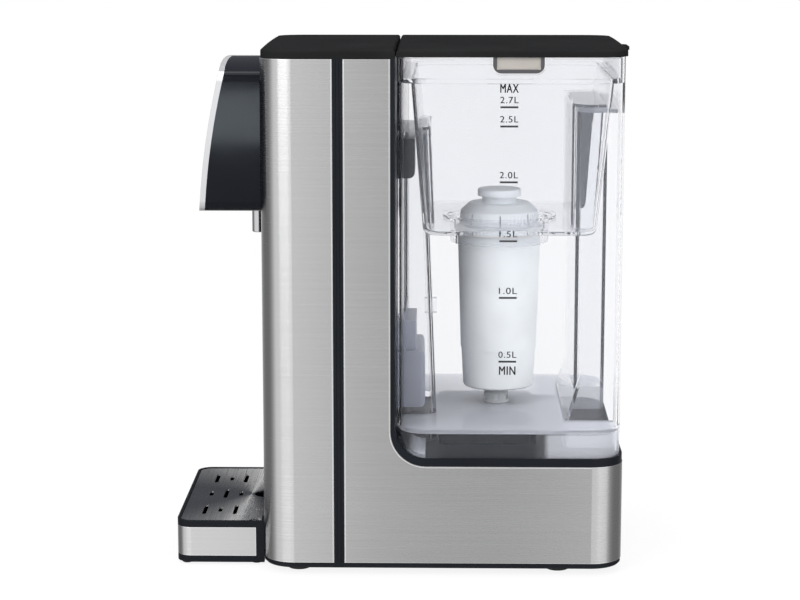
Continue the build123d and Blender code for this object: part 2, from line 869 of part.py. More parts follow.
def rear_channel(wall):
    """Makes the grip channel in the tank's back, flared at its foot, grown by a wall."""
    inner = tank_back - rear_channel_depth - wall
    with BuildPart() as channel:
        with BuildSketch(Plane.XZ):
            with BuildLine():
                Polyline(
                    (tank_back + overrun, tank_low - overrun),
                    (inner - rear_channel_flare, tank_low - overrun),
                    (inner - rear_channel_flare, tank_floor_under),
                    (inner, rear_channel_flare_high),
                    (inner, rear_channel_high + wall),
                    (tank_back + overrun, rear_channel_high + wall),
                    close=True,
                )
            make_face()
        extrude(amount=rear_channel_half_width + wall, both=True)
        uprights = channel.edges().filter_by(Axis.Z).filter_by(
            lambda e: e.length > front_channel_half_width
        )
        fillet(uprights.sort_by(Axis.X)[:2], channel_corner + wall)
    return channel.part


def tank_space(low, high, inset, side_inset):
    """Makes the room inside the tank's walls, round both channels."""
    with BuildPart() as space:
        with BuildSketch(Plane.XY.offset(low)):
            tank_plan(inset)
        extrude(amount=high - low)
        with BuildSketch(Plane.XZ):
            tank_side(side_inset)
        extrude(amount=body_width, both=True, mode=Mode.INTERSECT)
        add(front_channel(tank_wall), mode=Mode.SUBTRACT)
        add(rear_channel(tank_wall), mode=Mode.SUBTRACT)
    return space.part


grip_length = 29.4
grip_place = 69.9
grip_height = 9.2
grip_corner = 4.8
grip_x = tank_front + grip_place
notch_gap = 0.5


def grip_notch(mode=Mode.SUBTRACT):
    """Cuts the notches for the lid's grips down from the rim of a wall."""
    low = tank_high - grip_height - notch_gap
    high = tank_high + overrun
    with BuildSketch(Plane.XZ) as notch:
        with Locations((grip_x, (low + high + grip_corner) / 2)):
            RectangleRounded(
                grip_length + 2 * notch_gap, high + grip_corner - low, grip_corner + notch_gap
            )
    extrude(notch.sketch, amount=body_width, both=True, mode=mode)


valve_bore = valve_tube_radius - valve_tube_wall
valve_hole = 6.0
clip_high = 152.0
clip_low = 143.0
clip_reach = 7.0
clip_half_width = 3.0

tank_room = tank_space(tank_floor, tank_high + overrun, tank_wall, 0)
tank_skirt_room = tank_space(tank_low - overrun, tank_floor_under, tank_wall, tank_wall)
front_cut = front_channel(0)
rear_cut = rear_channel(0)
with BuildPart() as water_tank:
    with BuildSketch(Plane.XY.offset(tank_low)):
        tank_plan(0)
    extrude(amount=tank_high - tank_low)
    with BuildSketch(Plane.XZ):
        tank_side(0)
    extrude(amount=body_width, both=True, mode=Mode.INTERSECT)
    add(tank_room, mode=Mode.SUBTRACT)
    add(tank_skirt_room, mode=Mode.SUBTRACT)
    add(front_cut, mode=Mode.SUBTRACT)
    add(rear_cut, mode=Mode.SUBTRACT)
    with BuildSketch(Plane.XY.offset(funnel_seat_high)):
        tank_plan(tank_lip_wall)
    extrude(amount=tank_high, mode=Mode.SUBTRACT)
    grip_notch()
    # tube for the valve, under the floor
    with BuildSketch(Plane.XY.offset(valve_tube_low)):
        with Locations((valve_x, 0)):
            Circle(valve_tube_radius)
            Circle(valve_bore, mode=Mode.SUBTRACT)
    extrude(amount=tank_floor_under - valve_tube_low)
    with BuildSketch(Plane.XY.offset(tank_floor_under - overrun)):
        with Locations((valve_x, 0)):
            Circle(valve_hole)
    extrude(amount=2 * overrun, mode=Mode.SUBTRACT)
    # small rib on the wall of the front channel
    clip_x = tank_front + front_channel_depth_high + tank_wall
    box_between(
        (clip_x, -clip_half_width, clip_low), (clip_x + clip_reach, clip_half_width, clip_high)
    )
save("water_tank", water_tank.part)

# Tank valve: body, strainer cap, stem, seal and return spring
valve_body_low = 76.0
valve_body_floor = 2.2
valve_body_bore = 5.4
valve_seat_hole = 3.0
valve_cap_wall = 1.5
valve_cap_step = 6.4
valve_guide_radius = 2.8
valve_guide_length = 3.0
valve_window_width = 3.4
valve_window_high = 3.6
valve_window_count = 6
stem_radius = 1.5
stem_gap = 0.06
stem_disc_radius = 4.5
stem_disc = 1.6
seal_thickness = 1.0
seal_low = valve_body_low + valve_body_floor
disc_low = seal_low + seal_thickness
disc_high = disc_low + stem_disc
stem_high = valve_cap_high - valve_guide_length
spring_wire = 0.35
spring_radius = 3.7
spring_turns = 5

with BuildPart() as valve_body:
    with BuildSketch(Plane.XY.offset(valve_body_low)):
        with Locations((valve_x, 0)):
            Circle(valve_bore - piece_gap)
    extrude(amount=tank_floor_under - valve_body_low)
    with BuildSketch(Plane.XY.offset(seal_low)):
        with Locations((valve_x, 0)):
            Circle(valve_body_bore)
    extrude(amount=tank_floor_under, mode=Mode.SUBTRACT)
    with BuildSketch(Plane.XY.offset(valve_body_low)):
        with Locations((valve_x, 0)):
            Circle(valve_seat_hole)
    extrude(amount=valve_body_floor, mode=Mode.SUBTRACT)
save("valve_body", valve_body.part)

with BuildPart() as valve_cap:
    guide_low = valve_cap_high - valve_guide_length
    cap_under = valve_cap_high - valve_cap_wall
    with BuildSketch(Plane.XZ):
        with BuildLine():
            Polyline(
                (valve_x + stem_radius + stem_gap, guide_low), (valve_x + valve_guide_radius, guide_low),
                (valve_x + valve_guide_radius, cap_under),
                (valve_x + valve_cap_radius - valve_cap_wall, cap_under),
                (valve_x + valve_cap_radius - valve_cap_wall, tank_floor),
                (valve_x + valve_cap_radius, tank_floor),
                (valve_x + valve_cap_radius, cap_under), (valve_x + valve_cap_step, valve_cap_high),
                (valve_x + stem_radius + stem_gap, valve_cap_high),
                close=True,
            )
        make_face()
    revolve(axis=Axis((valve_x, 0, 0), (0, 0, 1)))
    with Locations((valve_x, 0, tank_floor + valve_window_high / 2 + valve_cap_wall)):
        with PolarLocations(valve_cap_radius, valve_window_count, 180 / valve_window_count):
            Box(2 * valve_cap_wall, valve_window_width, valve_window_high, mode=Mode.SUBTRACT)
save("valve_cap", valve_cap.part)

with BuildPart() as valve_stem:
    with BuildSketch(Plane.XY.offset(stem_low)):
        with Locations((valve_x, 0)):
            Circle(stem_radius)
    extrude(amount=stem_high + valve_guide_length / 2 - stem_low)
    with BuildSketch(Plane.XY.offset(disc_low)):
        with Locations((valve_x, 0)):
            Circle(stem_disc_radius)
    extrude(amount=stem_disc)
save("valve_stem", valve_stem.part)

with BuildPart() as valve_seal:
    with BuildSketch(Plane.XY.offset(seal_low)):
        with Locations((valve_x, 0)):
            Circle(stem_disc_radius)
            Circle(stem_radius + stem_gap, mode=Mode.SUBTRACT)
    extrude(amount=seal_thickness)
save("valve_seal", valve_seal.part)

spring_low = disc_high + spring_wire
spring_high = valve_cap_high - valve_guide_length - spring_wire
with BuildPart() as valve_spring:
    with BuildLine() as spring_line:
        Helix(
            (spring_high - spring_low) / spring_turns, spring_high - spring_low,
            spring_radius, center=(valve_x, 0, spring_low),
        )
    with BuildSketch(spring_line.line ^ 0):
        Circle(spring_wire)
    sweep(is_frenet=True)
save("valve_spring", valve_spring.part)

with BuildPart() as socket_seal:
    with BuildSketch(Plane.XY.offset(socket_floor)):
        with Locations((valve_x, 0)):
            Circle(socket_radius - piece_gap)
            Circle(valve_bore, mode=Mode.SUBTRACT)
    extrude(amount=valve_tube_low - socket_floor - piece_gap)
save("socket_seal", socket_seal.part)

# Funnel: drafted insert that hangs in the tank's rim and seats the filter
collar_inset = tank_lip_wall + flat_gap
seat_bore = filter_radius + 2 * flat_gap
seat_recess_radius = filter_flange_radius + flat_gap
seat_boss_radius = 30.2
seat_boss_low = 188.0
seat_lip_radius = 34.8
seat_lip = 2.4
seat_lip_high = 1.6


def funnel_loft(wall, floor):
    """Makes the funnel's drafted form, drawn in by a wall and down to a floor."""
    with BuildPart() as form:
        with BuildSketch(Plane.XY.offset(funnel_seat_high)) as top:
            plan(
                tank_front + funnel_inset_front + wall, tank_back - funnel_inset_back - wall,
                tank_half_width - funnel_inset_side - wall, funnel_corner_high - wall,
            )
        with BuildSketch(Plane.XY.offset(floor)) as bottom:
            plan(
                tank_front + funnel_inset_front + funnel_draft_front + wall,
                tank_back - funnel_inset_back - funnel_draft_back - wall,
                tank_half_width - funnel_inset_side - funnel_draft_side - wall,
                funnel_corner_low - wall,
            )
        loft([top.sketch, bottom.sketch])
        fillet(form.edges().group_by(Axis.Z)[0], funnel_toe_round - wall)
    return form.part


def funnel_room():
    """Makes the room inside the funnel, clear of the tank's two channels."""
    margin = tank_wall + pocket_gap + funnel_wall
    with BuildPart() as room:
        add(funnel_loft(funnel_wall, funnel_floor_under + funnel_floor))
        add(front_channel(margin), mode=Mode.SUBTRACT)
        add(rear_channel(margin), mode=Mode.SUBTRACT)
    return room.part


room = funnel_room()
front_pocket = front_channel(tank_wall + pocket_gap)
rear_pocket = rear_channel(tank_wall + pocket_gap)
outer_loft = funnel_loft(0, funnel_floor_under)
with BuildPart() as filter_funnel:
    add(outer_loft)
    add(front_pocket, mode=Mode.SUBTRACT)
    add(rear_pocket, mode=Mode.SUBTRACT)
    add(room, mode=Mode.SUBTRACT)
    with BuildSketch(Plane.XY.offset(funnel_seat_high)):
        tank_plan(collar_inset)
        plan(
            tank_front + funnel_inset_front + funnel_wall,
            tank_back - funnel_inset_back - funnel_wall,
            tank_half_width - funnel_inset_side - funnel_wall, funnel_corner_high - funnel_wall,
            Mode.SUBTRACT,
        )
    extrude(amount=funnel_flange)
    with BuildSketch(Plane.XY.offset(funnel_seat_high)):
        tank_plan(collar_inset)
        tank_plan(collar_inset + funnel_wall, Mode.SUBTRACT)
    extrude(amount=funnel_high - funnel_seat_high)
    grip_notch()
    with BuildSketch(Plane.XY.offset(seat_boss_low)):
        with Locations((filter_x, 0)):
            Circle(seat_boss_radius)
    extrude(amount=funnel_floor_under - seat_boss_low)
    with BuildSketch(Plane.XY.offset(funnel_floor_under + funnel_floor)):
        with Locations((filter_x, 0)):
            Circle(seat_lip_radius)
            Circle(seat_lip_radius - seat_lip, mode=Mode.SUBTRACT)
    extrude(amount=seat_lip_high)
    with BuildSketch(Plane.XY.offset(seat_boss_low)):
        with Locations((filter_x, 0)):
            Circle(seat_bore)
    extrude(amount=body_width, mode=Mode.SUBTRACT)
    with BuildSketch(Plane.XY.offset(filter_cap_low - gasket)):
        with Locations((filter_x, 0)):
            Circle(seat_recess_radius)
    extrude(amount=body_width, mode=Mode.SUBTRACT)
save("filter_funnel", filter_funnel.part)

# Filter cartridge, its ribbed cap and gasket
cap_rib_count = 60
cap_rib_depth = 0.45
cap_rib_width = 0.9
cap_slit_count = 8
cap_slit_width = 0.8
cap_slit_depth = 1.2
cap_wall_low = filter_cap_low + filter_flange
cap_round = 1.2
knob_edge = 1.2
knob_neck_radius = 10.5
with BuildPart() as filter_cartridge:
    with BuildSketch(Plane.XZ):
        with BuildLine():
            Polyline(
                (filter_x, filter_cap_low), (filter_x, filter_low),
                (filter_x + filter_toe_radius, filter_low),
                (filter_x + filter_low_radius - filter_step, filter_taper_low),
                (filter_x + filter_low_radius, filter_taper_low),
                (filter_x + filter_radius, filter_cap_low - 2 * filter_flange - gasket),
                (filter_x + filter_radius, filter_cap_low),
                close=True,
            )
        make_face()
    revolve(axis=Axis((filter_x, 0, 0), (0, 0, 1)))
    fillet(filter_cartridge.edges().group_by(Axis.Z)[0], filter_toe_round)
save("filter_cartridge", filter_cartridge.part)

with BuildPart() as filter_cap:
    with BuildSketch(Plane.XZ):
        with BuildLine():
            Polyline(
                (filter_x, knob_high), (filter_x, filter_cap_low),
                (filter_x + filter_flange_radius, filter_cap_low),
                (filter_x + filter_flange_radius, cap_wall_low),
                (filter_x + filter_cap_radius, cap_wall_low),
                (filter_x + filter_shoulder_radius, filter_shoulder_high),
                (filter_x + filter_dome_radius, filter_dome_high),
                (filter_x + knob_neck_radius, filter_dome_high),
                (filter_x + knob_neck_radius, knob_low), (filter_x + knob_radius, knob_low),
                (filter_x + knob_radius, knob_high),
                close=True,
            )
        make_face()
    revolve(axis=Axis((filter_x, 0, 0), (0, 0, 1)))
    fillet(filter_cap.edges().group_by(Axis.Z)[-1], knob_edge)
    fillet(
        filter_cap.edges().filter_by(GeomType.CIRCLE).filter_by_position(
            Axis.Z, filter_shoulder_high - flat_gap, filter_dome_high + flat_gap
        ).sort_by(SortBy.RADIUS)[-2:],
        cap_round,
    )
    cap_wall_middle = (filter_cap_radius + filter_shoulder_radius) / 2
    cap_wall_height = filter_shoulder_high - cap_wall_low
    cap_lean = degrees(atan2(filter_cap_radius - filter_shoulder_radius, cap_wall_height))
    with Locations((filter_x, 0, cap_wall_low + cap_wall_height / 2)):
        with PolarLocations(cap_wall_middle, cap_rib_count, 180 / cap_rib_count):
            Box(
                2 * cap_rib_depth, cap_rib_width, cap_wall_height - 2 * cap_round,
                rotation=(0, -cap_lean, 0), mode=Mode.SUBTRACT,
            )
        with PolarLocations(cap_wall_middle, cap_slit_count):
            Box(
                2 * cap_slit_depth, cap_slit_width, cap_wall_height - cap_round,
                rotation=(0, -cap_lean, 0), mode=Mode.SUBTRACT,
            )
save("filter_cap", filter_cap.part)

with BuildPart() as filter_gasket:
    with BuildSketch(Plane.XY.offset(filter_cap_low - gasket)):
        with Locations((filter_x, 0)):
            Circle(filter_flange_radius)
            Circle(filter_radius + piece_gap, mode=Mode.SUBTRACT)
    extrude(amount=gasket)
save("filter_gasket", filter_gasket.part)

# Tank lid with its rear lift tab, and the two smoked side grips
lid_inset = 0.6
lid_low = tank_high + flat_gap
tab_half_width = 14.0
tab_thickness = 2.0
tab_root = 16.0
tab_corner = 3.0
lid_back = body_back - lid_inset

with BuildPart() as tank_lid:
    crowned(tank_front, lid_back, half_width - lid_inset, lid_low)
    with BuildSketch(Plane.XY.offset(lid_low)):
        plan(body_front, lid_back, half_width - lid_inset, corner_radius - lid_inset)
    extrude(amount=overall_height - lid_low, mode=Mode.INTERSECT)
    fillet(tank_lid.faces().sort_by(Axis.Z)[-1].edges(), cover_round)
    with BuildSketch(Plane.XY.offset(lid_low)):
        plan(lid_back - tab_root, body_back + tab_reach, tab_half_width, tab_corner)
    extrude(amount=tab_thickness)
save("tank_lid", tank_lid.part)

grip_thickness = 2.0
grip_rim = 2.2
grip_panel_sink = 0.5
with BuildPart() as lid_grips:
    for side in (-1, 1):
        outer = tank_half_width
        face = sorted((side * outer, side * (outer - grip_thickness)))
        with BuildSketch(Plane.XZ.offset(-face[1])):
            with Locations((grip_x, lid_low - grip_height / 2 + grip_corner / 2)):
                RectangleRounded(grip_length, grip_height + grip_corner, grip_corner)
        extrude(amount=grip_thickness)
        skin = side * outer
        with BuildSketch(Plane.XZ.offset(-skin - grip_panel_sink)):
            with Locations((grip_x, lid_low - grip_height / 2 + grip_corner / 2)):
                RectangleRounded(
                    grip_length - 2 * grip_rim, grip_height + grip_corner - 2 * grip_rim,
                    grip_corner - grip_rim,
                )
        extrude(amount=2 * grip_panel_sink, mode=Mode.SUBTRACT)
    with BuildSketch(Plane.XY.offset(lid_low)):
        Rectangle(4 * body_depth, 4 * body_width)
    extrude(amount=grip_height + grip_corner, mode=Mode.SUBTRACT)
save("lid_grips", lid_grips.part)

# Drip tray: black basin, steel band, lift-out plate and feet
tray_gap = 0.6
tray_back = body_front - flat_gap


def tray_plan(inset, mode=Mode.ADD):
    """Draws the tray in plan: a wide front and a tongue that fills the cup bay."""
    with BuildSketch(mode=Mode.PRIVATE) as shape:
        plan(tray_front + inset, tray_back + tray_corner, tray_half_width - inset, tray_corner - inset)
        with Locations((tray_back - inset + body_depth / 2, 0)):
            Rectangle(body_depth, body_width, mode=Mode.SUBTRACT)
        with BuildSketch(mode=Mode.PRIVATE) as tongue:
            bay_plan(-tray_gap - inset, Mode.ADD)
            with Locations((bay_centre - 2 * bay_radius, 0)):
                Rectangle(4 * bay_radius, 4 * bay_radius, mode=Mode.SUBTRACT)
            with Locations((bay_centre, 0)):
                Rectangle(4 * bay_radius, 2 * (tray_half_width - inset), mode=Mode.INTERSECT)
        add(tongue.sketch)
    add(shape.sketch, mode=mode)


plate_inset = 1.8
plate_gap = 0.3
plate_low = tray_high - plate_step - plate
with BuildPart() as tray_basin:
    with BuildSketch(Plane.XY.offset(tray_low)):
        tray_plan(0)
    extrude(amount=tray_high - tray_low)
    with BuildSketch(Plane.XY.offset(band_low)):
        with Locations((tray_back - band_end - body_depth / 2, 0)):
            Rectangle(body_depth, body_width)
        tray_plan(sheet + sheet_gap, Mode.SUBTRACT)
    extrude(amount=band_high - band_low, mode=Mode.SUBTRACT)
    with BuildSketch(Plane.XY.offset(tray_low + tray_floor)):
        tray_plan(tray_wall)
    extrude(amount=tray_high, mode=Mode.SUBTRACT)
    with BuildSketch(Plane.XY.offset(plate_low)):
        tray_plan(plate_inset)
    extrude(amount=tray_high, mode=Mode.SUBTRACT)
save("tray_basin", tray_basin.part)

with BuildPart() as tray_band:
    with BuildSketch(Plane.XY.offset(band_low)):
        tray_plan(0)
        tray_plan(sheet, Mode.SUBTRACT)
        with Locations((tray_back - band_end + body_depth / 2, 0)):
            Rectangle(body_depth, body_width, mode=Mode.SUBTRACT)
    extrude(amount=band_high - band_low)
save("tray_band", tray_band.part)

# Lift-out drip plate with its slots, drain hole and thumb notches
slot_long = 21.0
slot_short = 10.5
slot_width = 2.6
slot_pitch = 9.3
slot_row = 38.0
slot_first = 14.8
drain_place = 50.6
drain_radius = 8.8
spoke_length = 13.0
spoke_width = 1.6
thumb_place = 48.5
thumb_radius = 5.5
slot_x = tray_front + slot_first
drain_x = tray_front + drain_place
with BuildPart() as tray_plate:
    with BuildSketch(Plane.XY.offset(plate_low)):
        tray_plan(plate_inset + plate_gap)
        for row in (-1, 0, 1):
            lengths = (
                (slot_short, slot_long, slot_short) if row == 0
                else (slot_long, slot_short, slot_long)
            )
            for column, length in enumerate(lengths):
                with Locations((slot_x + column * slot_pitch, row * slot_row)):
                    SlotOverall(length, slot_width, rotation=90, mode=Mode.SUBTRACT)
            with Locations((2 * drain_x - slot_x - 2 * slot_pitch, row * slot_row / 2)):
                SlotOverall(slot_short, slot_width, rotation=90, mode=Mode.SUBTRACT)
        with Locations((drain_x, 0)):
            Circle(drain_radius, mode=Mode.SUBTRACT)
        with Locations((drain_x, -slot_row), (drain_x, slot_row)):
            SlotOverall(spoke_length, spoke_width, mode=Mode.SUBTRACT)
        for side in (-1, 1):
            with Locations((tray_front + thumb_place, side * (tray_half_width - plate_inset))):
                Circle(thumb_radius, mode=Mode.SUBTRACT)
    extrude(amount=plate)
save("tray_plate", tray_plate.part)

tray_foot_radius = 3.4
tray_foot_round = 1.2
tray_foot_front = 6.0
tray_foot_back = 5.0
tray_foot_half_spacing = 60.0
with BuildPart() as tray_feet:
    with BuildSketch():
        with Locations(*[
            (x, y)
            for x in (tray_front + tray_foot_front, tray_back - tray_foot_back)
            for y in (-tray_foot_half_spacing, tray_foot_half_spacing)
        ]):
            Circle(tray_foot_radius)
    extrude(amount=tray_low)
    fillet(tray_feet.faces().group_by(Axis.Z)[0].edges(), tray_foot_round)
save("tray_feet", tray_feet.part)

# Level sensor: stepped cover on the cradle's upright and the sensing board in it
sensor_flange_low = 120.5
sensor_flange_high = 148.0
sensor_flange = 3.8
sensor_nose_low = 123.6
sensor_nose_high = 141.5
sensor_nose_reach = 11.1
sensor_block_low = 89.0
sensor_block_reach = 17.2
sensor_half_width = 28.0
sensor_nose_half_width = 22.0
sensor_wall = 1.8
sensor_round = 3.0
with BuildPart() as sensor_cover:
    box_between(
        (cradle_face, -sensor_half_width, sensor_flange_low),
        (cradle_face + sensor_flange, sensor_half_width, sensor_flange_high),
    )
    box_between(
        (cradle_face, -sensor_nose_half_width, sensor_nose_low),
        (cradle_face + sensor_nose_reach, sensor_nose_half_width, sensor_nose_high),
    )
    box_between(
        (cradle_face, -sensor_half_width, sensor_block_low),
        (cradle_face + sensor_block_reach, sensor_half_width, sensor_nose_low),
    )
    fillet(sensor_cover.faces().sort_by(Axis.X)[-1].edges(), sensor_round)
    box_between(
        (cradle_face - overrun, sensor_wall - sensor_half_width, sensor_block_low + sensor_wall),
        (
            cradle_face + sensor_block_reach - sensor_wall, sensor_half_width - sensor_wall,
            sensor_nose_low - sensor_wall,
        ),
        Mode.SUBTRACT,
    )
save("sensor_cover", sensor_cover.part)

with BuildPart() as sensor_board:
    box_between(
        (
            cradle_face, 2 * sensor_wall - sensor_half_width, sensor_block_low + 2 * sensor_wall,
        ),
        (
            cradle_face + board_thickness, sensor_half_width - 2 * sensor_wall,
            sensor_nose_low - 2 * sensor_wall,
        ),
    )
save("sensor_board", sensor_board.part)

# Pump in the base: motor, housing and impeller on one shaft
pump_step = 13.5
pump_x = column_back - pump_step
pump_high = 30.0
pump_radius = 17.0
pump_wall = 2.0
pump_face = 4.0
pump_depth = 16.0
motor_radius = 13.0
motor_length = 38.0
motor_edge = 1.5
shaft_radius = 1.5
shaft_gap = 0.06
shaft_grip = 6.0
impeller_radius = 12.0
impeller_disc = 1.5
impeller_hub = 4.0
impeller_gap = 1.0
vane_count = 6
vane = 1.2
port_radius = 4.0
port_bore = 2.5
port_length = 8.0
outlet_offset = 8.0
cap_y = pump_face + pump_depth
with BuildPart() as pump_housing:
    with BuildSketch(Plane.XZ.offset(-cap_y)):
        with Locations((pump_x, pump_high)):
            Circle(pump_radius)
    extrude(amount=pump_depth)
    with BuildSketch(Plane.XY.offset(pump_high)):
        with Locations((pump_x - outlet_offset, pump_face + pump_depth / 2)):
            Circle(port_radius)
    extrude(amount=pump_radius + port_length)
    with BuildSketch(Plane.XZ.offset(-cap_y - port_length)):
        with Locations((pump_x, pump_high)):
            Circle(port_radius)
    extrude(amount=port_length)
    with BuildSketch(Plane.XZ.offset(-cap_y + pump_wall)):
        with Locations((pump_x, pump_high)):
            Circle(pump_radius - 2 * pump_wall)
    extrude(amount=pump_depth - 2 * pump_wall, mode=Mode.SUBTRACT)
    with BuildSketch(Plane.XY.offset(pump_high)):
        with Locations((pump_x - outlet_offset, pump_face + pump_depth / 2)):
            Circle(port_bore)
    extrude(amount=pump_radius + port_length, mode=Mode.SUBTRACT)
    with BuildSketch(Plane.XZ.offset(-cap_y - port_length)):
        with Locations((pump_x, pump_high)):
            Circle(port_bore)
    extrude(amount=port_length + 2 * pump_wall, mode=Mode.SUBTRACT)
    with BuildSketch(Plane.XZ.offset(-pump_face - 2 * pump_wall)):
        with Locations((pump_x, pump_high)):
            Circle(shaft_radius + shaft_gap)
    extrude(amount=4 * pump_wall, mode=Mode.SUBTRACT)
save("pump_housing", pump_housing.part)

with BuildPart() as pump_motor:
    with BuildSketch(Plane.XZ.offset(-pump_face)):
        with Locations((pump_x, pump_high)):
            Circle(motor_radius)
    extrude(amount=motor_length)
    fillet(pump_motor.faces().sort_by(Axis.Y)[0].edges(), motor_edge)
    with BuildSketch(Plane.XZ.offset(-pump_face)):
        with Locations((pump_x, pump_high)):
            Circle(shaft_radius + shaft_gap)
    extrude(amount=shaft_grip + flat_gap, mode=Mode.SUBTRACT)
save("pump_motor", pump_motor.part)

disc_y = pump_face + pump_wall + impeller_gap
with BuildPart() as pump_impeller:
    with BuildSketch(Plane.XZ.offset(-disc_y - impeller_disc)):
        with Locations((pump_x, pump_high)):
            Circle(impeller_radius)
    extrude(amount=impeller_disc)
    with BuildSketch(Plane.XZ.offset(-cap_y + pump_wall + impeller_gap)):
        with Locations((pump_x, pump_high)):
            Circle(impeller_hub)
    extrude(amount=cap_y - pump_wall - impeller_gap - disc_y)
    with BuildSketch(Plane.XZ.offset(-disc_y)):
        with Locations((pump_x, pump_high)):
            Circle(shaft_radius)
    extrude(amount=disc_y - pump_face + shaft_grip)
    with BuildSketch(Plane.XZ.offset(-cap_y + pump_wall + 2 * impeller_gap)):
        with Locations((pump_x, pump_high)):
            with PolarLocations((impeller_hub + impeller_radius) / 2, vane_count):
                Rectangle(impeller_radius - impeller_hub + 2 * vane, vane)
    extrude(amount=cap_y - pump_wall - 2 * impeller_gap - disc_y - impeller_disc)
    with BuildSketch(Plane.XZ.offset(-cap_y)):
        with Locations((pump_x, pump_high)):
            Circle(impeller_radius)
    extrude(amount=pump_depth + 2 * shaft_grip, mode=Mode.INTERSECT)
save("pump_impeller", pump_impeller.part)

pan_floor_high = foot_height + pan_floor
mount_margin = 6.0
mount_half_length = 12.0
mount_middle = pump_face - motor_length / 2
with BuildPart() as pump_mount:
    box_between(
        (pump_x - motor_radius, mount_middle - mount_half_length, pan_floor_high),
        (pump_x + motor_radius, mount_middle + mount_half_length, pump_high - mount_margin),
    )
    with BuildSketch(Plane.XZ):
        with Locations((pump_x, pump_high)):
            Circle(motor_radius + piece_gap)
    extrude(amount=body_width, both=True, mode=Mode.SUBTRACT)
save("pump_mount", pump_mount.part)

# Flow heater in the column, with end caps, clamps and thermal cut-outs
heater_x = pump_x - outlet_offset
heater_y = pump_face + pump_depth / 2
heater_low = 92.0
heater_high = 188.0
heater_radius = 15.0
heater_flat = 1.2
heater_groove = 1.2
heater_groove_count = 7
heater_cap = 5.0
heater_port = 5.0
clamp_wall = 2.0
clamp_width = 8.0
clamp_share = 0.2
cutout_radius = 6.0
cutout_length = 4.6
cutout_spacing = 22.0
heater_middle = (heater_low + heater_high) / 2
heater_face = heater_x + heater_radius - heater_flat
with BuildPart() as flow_heater:
    with BuildSketch(Plane.XY.offset(heater_low)):
        with Locations((heater_x, heater_y)):
            Circle(heater_radius)
    extrude(amount=heater_high - heater_low)
    with BuildSketch(Plane.XZ) as groove_section:
        with Locations((heater_x + heater_radius, heater_middle)):
            with GridLocations(0, (heater_high - heater_low) / (heater_groove_count + 1), 1,
                               heater_groove_count):
                Rectangle(2 * heater_groove, heater_groove)
    revolve(
        groove_section.sketch.moved(Location((0, heater_y, 0))),
        axis=Axis((heater_x, heater_y, 0), (0, 0, 1)), mode=Mode.SUBTRACT,
    )
    box_between(
        (heater_face, heater_y - heater_radius, heater_low - overrun),
        (heater_face + overrun, heater_y + heater_radius, heater_high + overrun),
        Mode.SUBTRACT,
    )
save("flow_heater", flow_heater.part)

with BuildPart() as heater_caps:
    for face, way in ((heater_low, -1), (heater_high, 1)):
        with BuildSketch(Plane.XY.offset(face)):
            with Locations((heater_x, heater_y)):
                Circle(heater_radius - heater_flat)
                Circle(port_bore, mode=Mode.SUBTRACT)
        extrude(amount=way * heater_cap)
        with BuildSketch(Plane.XY.offset(face + way * heater_cap)):
            with Locations((heater_x, heater_y)):
                Circle(port_radius)
                Circle(port_bore, mode=Mode.SUBTRACT)
        extrude(amount=way * heater_port)
save("heater_caps", heater_caps.part)

with BuildPart() as thermal_cutouts:
    with BuildSketch(Plane.YZ.offset(heater_face)):
        with Locations((heater_y, heater_middle)):
            with GridLocations(0, cutout_spacing, 1, 2):
                Circle(cutout_radius)
    extrude(amount=cutout_length)
save("thermal_cutouts", thermal_cutouts.part)

with BuildPart() as heater_clamps:
    for share in (clamp_share, 1 - clamp_share):
        low = heater_low + share * (heater_high - heater_low) - clamp_width / 2
        with BuildSketch(Plane.XY.offset(low)):
            with Locations((heater_x, heater_y)):
                Circle(heater_radius + piece_gap + clamp_wall)
            with Locations(((heater_x + column_back) / 2, heater_y)):
                Rectangle(column_back - heater_x, heater_radius)
            with Locations((heater_x, heater_y)):
                Circle(heater_radius + piece_gap, mode=Mode.SUBTRACT)
        extrude(amount=clamp_width)
save("heater_clamps", heater_clamps.part)


def water_tube(name, points, radii):
    """Makes a silicone tube along straight runs and arcs."""
    with BuildPart() as tube:
        with BuildLine() as route:
            if radii:
                FilletPolyline(*points, radius=radii)
            else:
                Line(*points)
        with BuildSketch(Plane(route.wires()[0] @ 0, z_dir=route.wires()[0] % 0)) as ring:
            Circle(port_radius)
            Circle(port_bore, mode=Mode.SUBTRACT)
        sweep(ring.sketch, route.wires()[0])
    save(name, tube.part)


# Silicone tubes between the tank's socket, pump, heater and spout
tube_bend = 10.0
tube_side = cap_y + 2 * port_length
water_tube(
    "inlet_tube",
    [
        (valve_x, 0, spigot_low), (valve_x, 0, pump_high), (valve_x, tube_side, pump_high),
        (pump_x, tube_side, pump_high), (pump_x, cap_y + port_length, pump_high),
    ],
    [tube_bend, tube_bend, port_length - flat_gap],
)
water_tube(
    "pump_tube",
    [
        (heater_x, heater_y, pump_high + pump_radius + port_length),
        (heater_x, heater_y, heater_low - heater_cap - heater_port),
    ],
    [],
)
spigot_x = nozzle_x + nozzle_flange_radius + elbow_spigot
water_tube(
    "outlet_tube",
    [
        (heater_x, heater_y, heater_high + heater_cap + heater_port),
        (heater_x, heater_y, head_hole_high), ((heater_x + spigot_x) / 2, 0, head_hole_high),
        (spigot_x, 0, head_hole_high),
    ],
    [tube_bend, tube_bend],
)

